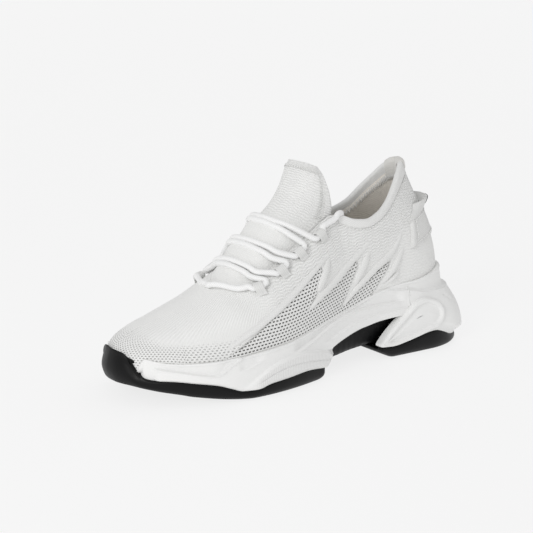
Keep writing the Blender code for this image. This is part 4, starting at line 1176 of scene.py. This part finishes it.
runs = stitchRow(hemLine(0.888, -0.6), 0.5, 1.7, 1.1)
zigzag = []
for start in range(84):
    upLine, downLine = hemLine(0.9, -5.3), hemLine(0.845, -6.6)
    a, b, c = upLine(start / 84), downLine((start + 0.5) / 84), upLine(min(1.0, (start + 1) / 84))
    zigzag.append([p - n * 0.1 for p, n in (a, b, c)])
stitches("collarStitches", runs + zigzag, 0.4)
print("collar")

# tongue, with the ends of a stretch across it (bendStart, bendEnd)
tongue = {"columns": 64, "rows": 110, "thickness": 3.6, "laceSteps": (1.25, 2.78, 4.15, 5.78),
          "bendStart": (17, 0, 109), "bendEnd": (4, 0, 123)}


def tonguePiece():
    def place(u, w):
        step = w * 11
        side = (u * 2 - 1)
        puff = 0.0
        for a, b in zip(tongue["laceSteps"], tongue["laceSteps"][1:]):
            if a < step < b:
                puff = 1.9 * math.sin(math.pi * (step - a) / (b - a)) ** 0.8 * (1 - abs(side) ** 3)
        # the top edge's hem stands a little proud above its seam
        rim = max(abs(side) * smooth(step, 6.6, 7.2), smooth(step, 9.4, 11))
        seam = math.exp(-((rim - 0.85) / 0.02) ** 2) * smooth(step, 7, 7.6)
        puff += 0.3 * smooth(rim, 0.86, 0.93) - 0.12 * seam
        return tongueSpot(step, side, puff + 0.001)

    def cloth(u, w):
        return (u - 0.5) * 62, w * 132

    def ripple(u, w):
        return 0.75 * smooth(w * 11, 5.6, 6.6)
    masks = {"ripple": ripple, "fan": lambda u, w: 0.0, "eyelets": lambda u, w: 0.0, "lining": lambda u, w: 0.0}
    bm = mappedGrid(tongue["columns"], tongue["rows"], place, cloth, masks)
    made = finishPiece("knitTongue", bm, "knit", stands=("tongue_base", "tongue_top"),
                       modifiers=[solid(tongue["thickness"]), rounded()], ride=False)
    return settled(made)


knitTongue = tonguePiece()
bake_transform(knitTongue)

zigzag = []
for i in range(27):
    a = (mix(6.8, 10.2, i / 27), 0.9)
    b = (mix(6.8, 10.2, (i + 0.5) / 27), 0.8)
    c = (mix(6.8, 10.2, (i + 1) / 27), 0.9)
    for mirror in (1, -1):
        zigzag.append([tongueSpot(p[0], p[1] * mirror, 0.25) for p in (a, b, c)])
for i in range(26):
    w0, w1, w2 = (mix(0.78, -0.78, (i + k) / 26) for k in (0, 0.5, 1))
    zigzag.append([tongueSpot(10.3, w0, 0.3), tongueSpot(10.0, w1, 0.3), tongueSpot(10.3, w2, 0.3)])
tongueThread = stitches("tongueStitches", zigzag, 0.34, body=None)
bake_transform(tongueThread)
print("tongue")

# lace and its loops: places by station and level, rows by step up the tongue
lacing = {
    "radius": 2.1, "height": 3.1, "loopWidth": 6.8,
    "loops": {1: [(43.0, 0.875), (25.5, 0.91), (9.5, 0.93), (-9.5, 0.92)],
              -1: [(51, 0.79), (39.5, 0.84), (24, 0.865), (6.5, 0.875)]},
    "rows": [(0.92, 1.15, 0.7), (2.55, 2.4, 2.6), (2.84, 2.68, 2.95), (3.82, 3.68, 3.8), (4.1, 3.96, 4.18),
             (5.32, 5.2, 5.15), (5.62, 5.5, 5.6)],
    "firstRowEnd": {0.3: (65, 1, 0.97, 2.9), 0.5: (61, 1, 0.925, 2.9), 0.68: (54.5, 1, 0.88, 2.9)},
    # a loop's tape by distance across towards the throat and out from the upper
    "tape": [(-6.0, 0.6), (-5.2, 0.9), (-4.2, 1.9), (-3.1, 3.8), (-1.8, 5.3), (0.1, 5.95), (2.1, 5.2),
             (3.2, 3.3), (2.8, 1.3), (1.2, 0.45), (-1.0, 0.25), (-3.4, 0.3), (-5.8, 0.3)],
}


def loopFrame(number, side):
    s, v = lacing["loops"][side][number]
    middle = upperSpot(s, side, v)
    n = upperNormal(s, side, v)
    along = (upperSpot(s - 3, side, v) - upperSpot(s + 3, side, v)).normalized()
    across = n.cross(along).normalized()
    if across.dot(upperSpot(s, side, min(v + 0.05, 1.0)) - middle) < 0:
        across = -across
    return middle, across, along, n


def lacePath():
    def through(number, side, forward):
        middle, across, along, n = loopFrame(number, side)
        centre = middle + n * lacing["height"] + across * 0.1
        bend = across * 2.4 + n * 0.35
        ends = [centre - along * 6.4 + bend, centre - along * 3.6, centre, centre + along * 3.6,
                centre + along * 6.4 + bend]
        return ends if forward else ends[::-1]

    def row(number, toLateral):
        middle, medial, lateral = lacing["rows"][number]
        out = []
        for w in (-0.66, -0.45, -0.2, 0.05, 0.3, 0.5, 0.68):
            step = curveThrough([(-0.8, medial), (0, middle), (0.8, lateral)], w)[0]
            lift = mix(0.7, 3.1, smooth(abs(w), 0.3, 0.65))
            if number == 0:
                lift = mix(3.0, 3.8, smooth(-w, 0.0, 0.6))
            if number == 0 and w > 0.2:
                out.append(upperAt(*lacing["firstRowEnd"][w]))
                continue
            out.append(tongueSpot(step, w, 1.5 + lift))
        return out if toLateral else out[::-1]

    points = through(0, -1, False)[2:] + row(0, True) + through(0, 1, True)
    points += row(1, False) + through(1, -1, True) + row(2, True) + through(1, 1, True)
    points += row(3, False) + through(2, -1, True) + row(4, True) + through(2, 1, True)
    points += row(5, False) + through(3, -1, True) + row(6, True) + through(3, 1, True)
    points += [upperAt(-24.0, 1, 0.94, 3.2), upperAt(-29.0, 1, 0.985, 2.9), upperAt(-32.5, 1, 1.02, -0.8),
               upperAt(-33.5, 1, 0.985, -6.5)]
    return evenly(points, 1.1)


lacePoints = lacePath()
finishPiece("roundLace", sweep(cordFrames(lacePoints, lacing["radius"]), 16), "cord", stands=("lace",))


def loopPiece(number, side):
    # short tape folded round the lace; both ends are sewn flat on the outer side, the top one cut on a slant
    middle, across, along, n = loopFrame(number, side)
    path = evenly([Vector((a, h, 0)) for a, h in lacing["tape"]], 0.6)
    count = len(path) - 1

    def place(u, w):
        p = path[round(u * count)]
        wide = lacing["loopWidth"] * (w - 0.5)
        skew = 0.45 * min(p.x + 2.0, 0.0)
        return middle + across * p.x + n * p.y + along * (wide - skew)
    bm = mappedGrid(count, 8, place, lambda u, w: (u * 26, w * 7))
    label = "lateral" if side > 0 else "medial"
    return finishPiece("laceLoop%s%d" % (label.title(), number + 1), bm, "tape",
                       stands=("lace_loop_%s_%d" % (label, number + 1),),
                       modifiers=[solid(0.75, 0.0), rounded()])


for side in (1, -1):
    for number in range(4):
        loopPiece(number, side)
print("lace")

# heel patch, pull loop and label
heelTape = {"bow": 7.4}


def heelPatchPiece():
    def place(u, w):
        v = mix(0.385, 0.59, w)
        wide = mix(77, 70, w)
        p = u * 2 - 1
        edge = max(abs(p), abs(w * 2 - 1))
        hem = smooth(abs(p), 0.9, 0.94) * (1 - smooth(abs(p), 0.97, 1.0))
        out = 0.25 + 1.3 * (1 - smooth(edge, 0.96, 1.0)) + 0.5 * hem
        out -= 0.4 * math.exp(-((abs(p) - 0.885) / 0.012) ** 2) + 0.3 * math.exp(-((w - 0.12) / 0.03) ** 2)
        return upperAt(-170 + wide * abs(p), 1 if p <= 0 else -1, v, out)
    bm = mappedGrid(150, 26, place, lambda u, w: (u * 150, w * 22))
    return finishPiece("heelPatch", bm, "tape", stands=("heel_patch",),
                       modifiers=[solid(0.8)])


def loopFace(u, w, lift):
    # band sewn down at both sides and along its foot; its free top edge stands off the heel
    p = u * 2 - 1
    v = mix(0.585, 0.685 - 0.055 * (1 - p * p), w)
    reach = mix(71, 55, w)
    bow = heelTape["bow"] * smooth(w, -0.15, 1.1) * (1 - abs(p) ** 2.4)
    lift -= 0.9 * smooth(abs(p), 0.86, 1.0)
    return upperAt(-170 + reach * abs(p), 1 if p <= 0 else -1, v, 0.3 + lift + bow)


heelPatchPiece()
bm = mappedGrid(90, 26, lambda u, w: loopFace(u, w, 1.25), lambda u, w: (u * 120, w * 16))
finishPiece("pullLoop", bm, "tape", stands=("pull_loop",), modifiers=[solid(1.1)])
bm = mappedGrid(12, 8, lambda u, w: loopFace(mix(0.24, 0.4, u), mix(0.42, 0.98, w), 1.75),
                lambda u, w: (w * 8, u * 10))
finishPiece("loopLabel", bm, "label", stands=("loop_label",),
            modifiers=[solid(0.55), rounded()])


def patchLine(v, reach):
    def line(t):
        p = t * 2 - 1
        s, side = -170 + reach * abs(p), (1 if p <= 0 else -1)
        return upperAt(s, side, v, 1.5), upperNormal(s, side, v)
    return line


def patchUp(side, reach):
    def line(t):
        v = mix(0.41, 0.58, t)
        s = -170 + (77 - 7 * (v - 0.385) / 0.205) * reach
        return upperAt(s, side, v, 1.6), upperNormal(s, side, v)
    return line


runs = stitchRow(patchLine(0.41, 68), 0.4, 2.0, 1.2) + stitchRow(patchLine(0.572, 62), 0.4, 2.0, 1.2)
runs += stitchRow(patchUp(1, 0.885), 0.35, 2.0, 1.2) + stitchRow(patchUp(-1, 0.885), 0.35, 2.0, 1.2)
stitches("heelPatchStitches", runs, 0.32)
print("heel tape")

# floor, light and camera
studio = {
    "floor": "#606060", "glow": 0.8, "world": 0.61,
    "keyPlace": (1.2, 0.6, 0.8), "keyAim": (0, 0, 0.06), "keySize": 0.6, "keyPower": 7.2,
    "azimuth": 144.36, "elevation": 14.05, "distance": 1.0, "aim": (10.18, -7.81, 72.21), "lens": 94.8968,
}
bpy.ops.mesh.primitive_circle_add(vertices=96, radius=40, fill_type="NGON", location=(0, 0, 0))
floor = bpy.context.object
floor.name = "studioFloor"
floorLook, tree, shader = newMaterial("paintedStudioFloor", studio["floor"], 0.9)
shader.inputs["Emission Color"].default_value = (1, 1, 1, 1)
shader.inputs["Emission Strength"].default_value = studio["glow"]
floor.data.materials.append(floorLook)

world = bpy.data.worlds.new("softRoom")
bpy.context.scene.world = world
world.use_nodes = True
world.node_tree.nodes["Background"].inputs["Color"].default_value = (1, 1, 1, 1)
world.node_tree.nodes["Background"].inputs["Strength"].default_value = studio["world"]

lamp = bpy.data.lights.new("keyBox", "AREA")
lamp.shape = "DISK"
lamp.size = studio["keySize"]
lamp.energy = studio["keyPower"]
keyBox = bpy.data.objects.new("keyBox", lamp)
bpy.context.scene.collection.objects.link(keyBox)
keyBox.location = studio["keyPlace"]
towards = Vector(studio["keyAim"]) - Vector(studio["keyPlace"])
keyBox.rotation_euler = towards.to_track_quat("-Z", "Y").to_euler()

camera = bpy.data.cameras.new("camera")
camera.sensor_width = 36
camera.lens = studio["lens"]
camera.clip_end = 100
viewer = bpy.data.objects.new("camera", camera)
bpy.context.scene.collection.objects.link(viewer)
azimuth, elevation = math.radians(studio["azimuth"]), math.radians(studio["elevation"])
back = Vector((math.sin(azimuth) * math.cos(elevation), -math.cos(azimuth) * math.cos(elevation),
               math.sin(elevation)))
viewer.location = Vector(studio["aim"]) * mm + back * studio["distance"]
viewer.rotation_euler = (-back).to_track_quat("-Z", "Y").to_euler()
bpy.context.scene.camera = viewer
bpy.context.scene.view_settings.view_transform = "Standard"

print("studio")
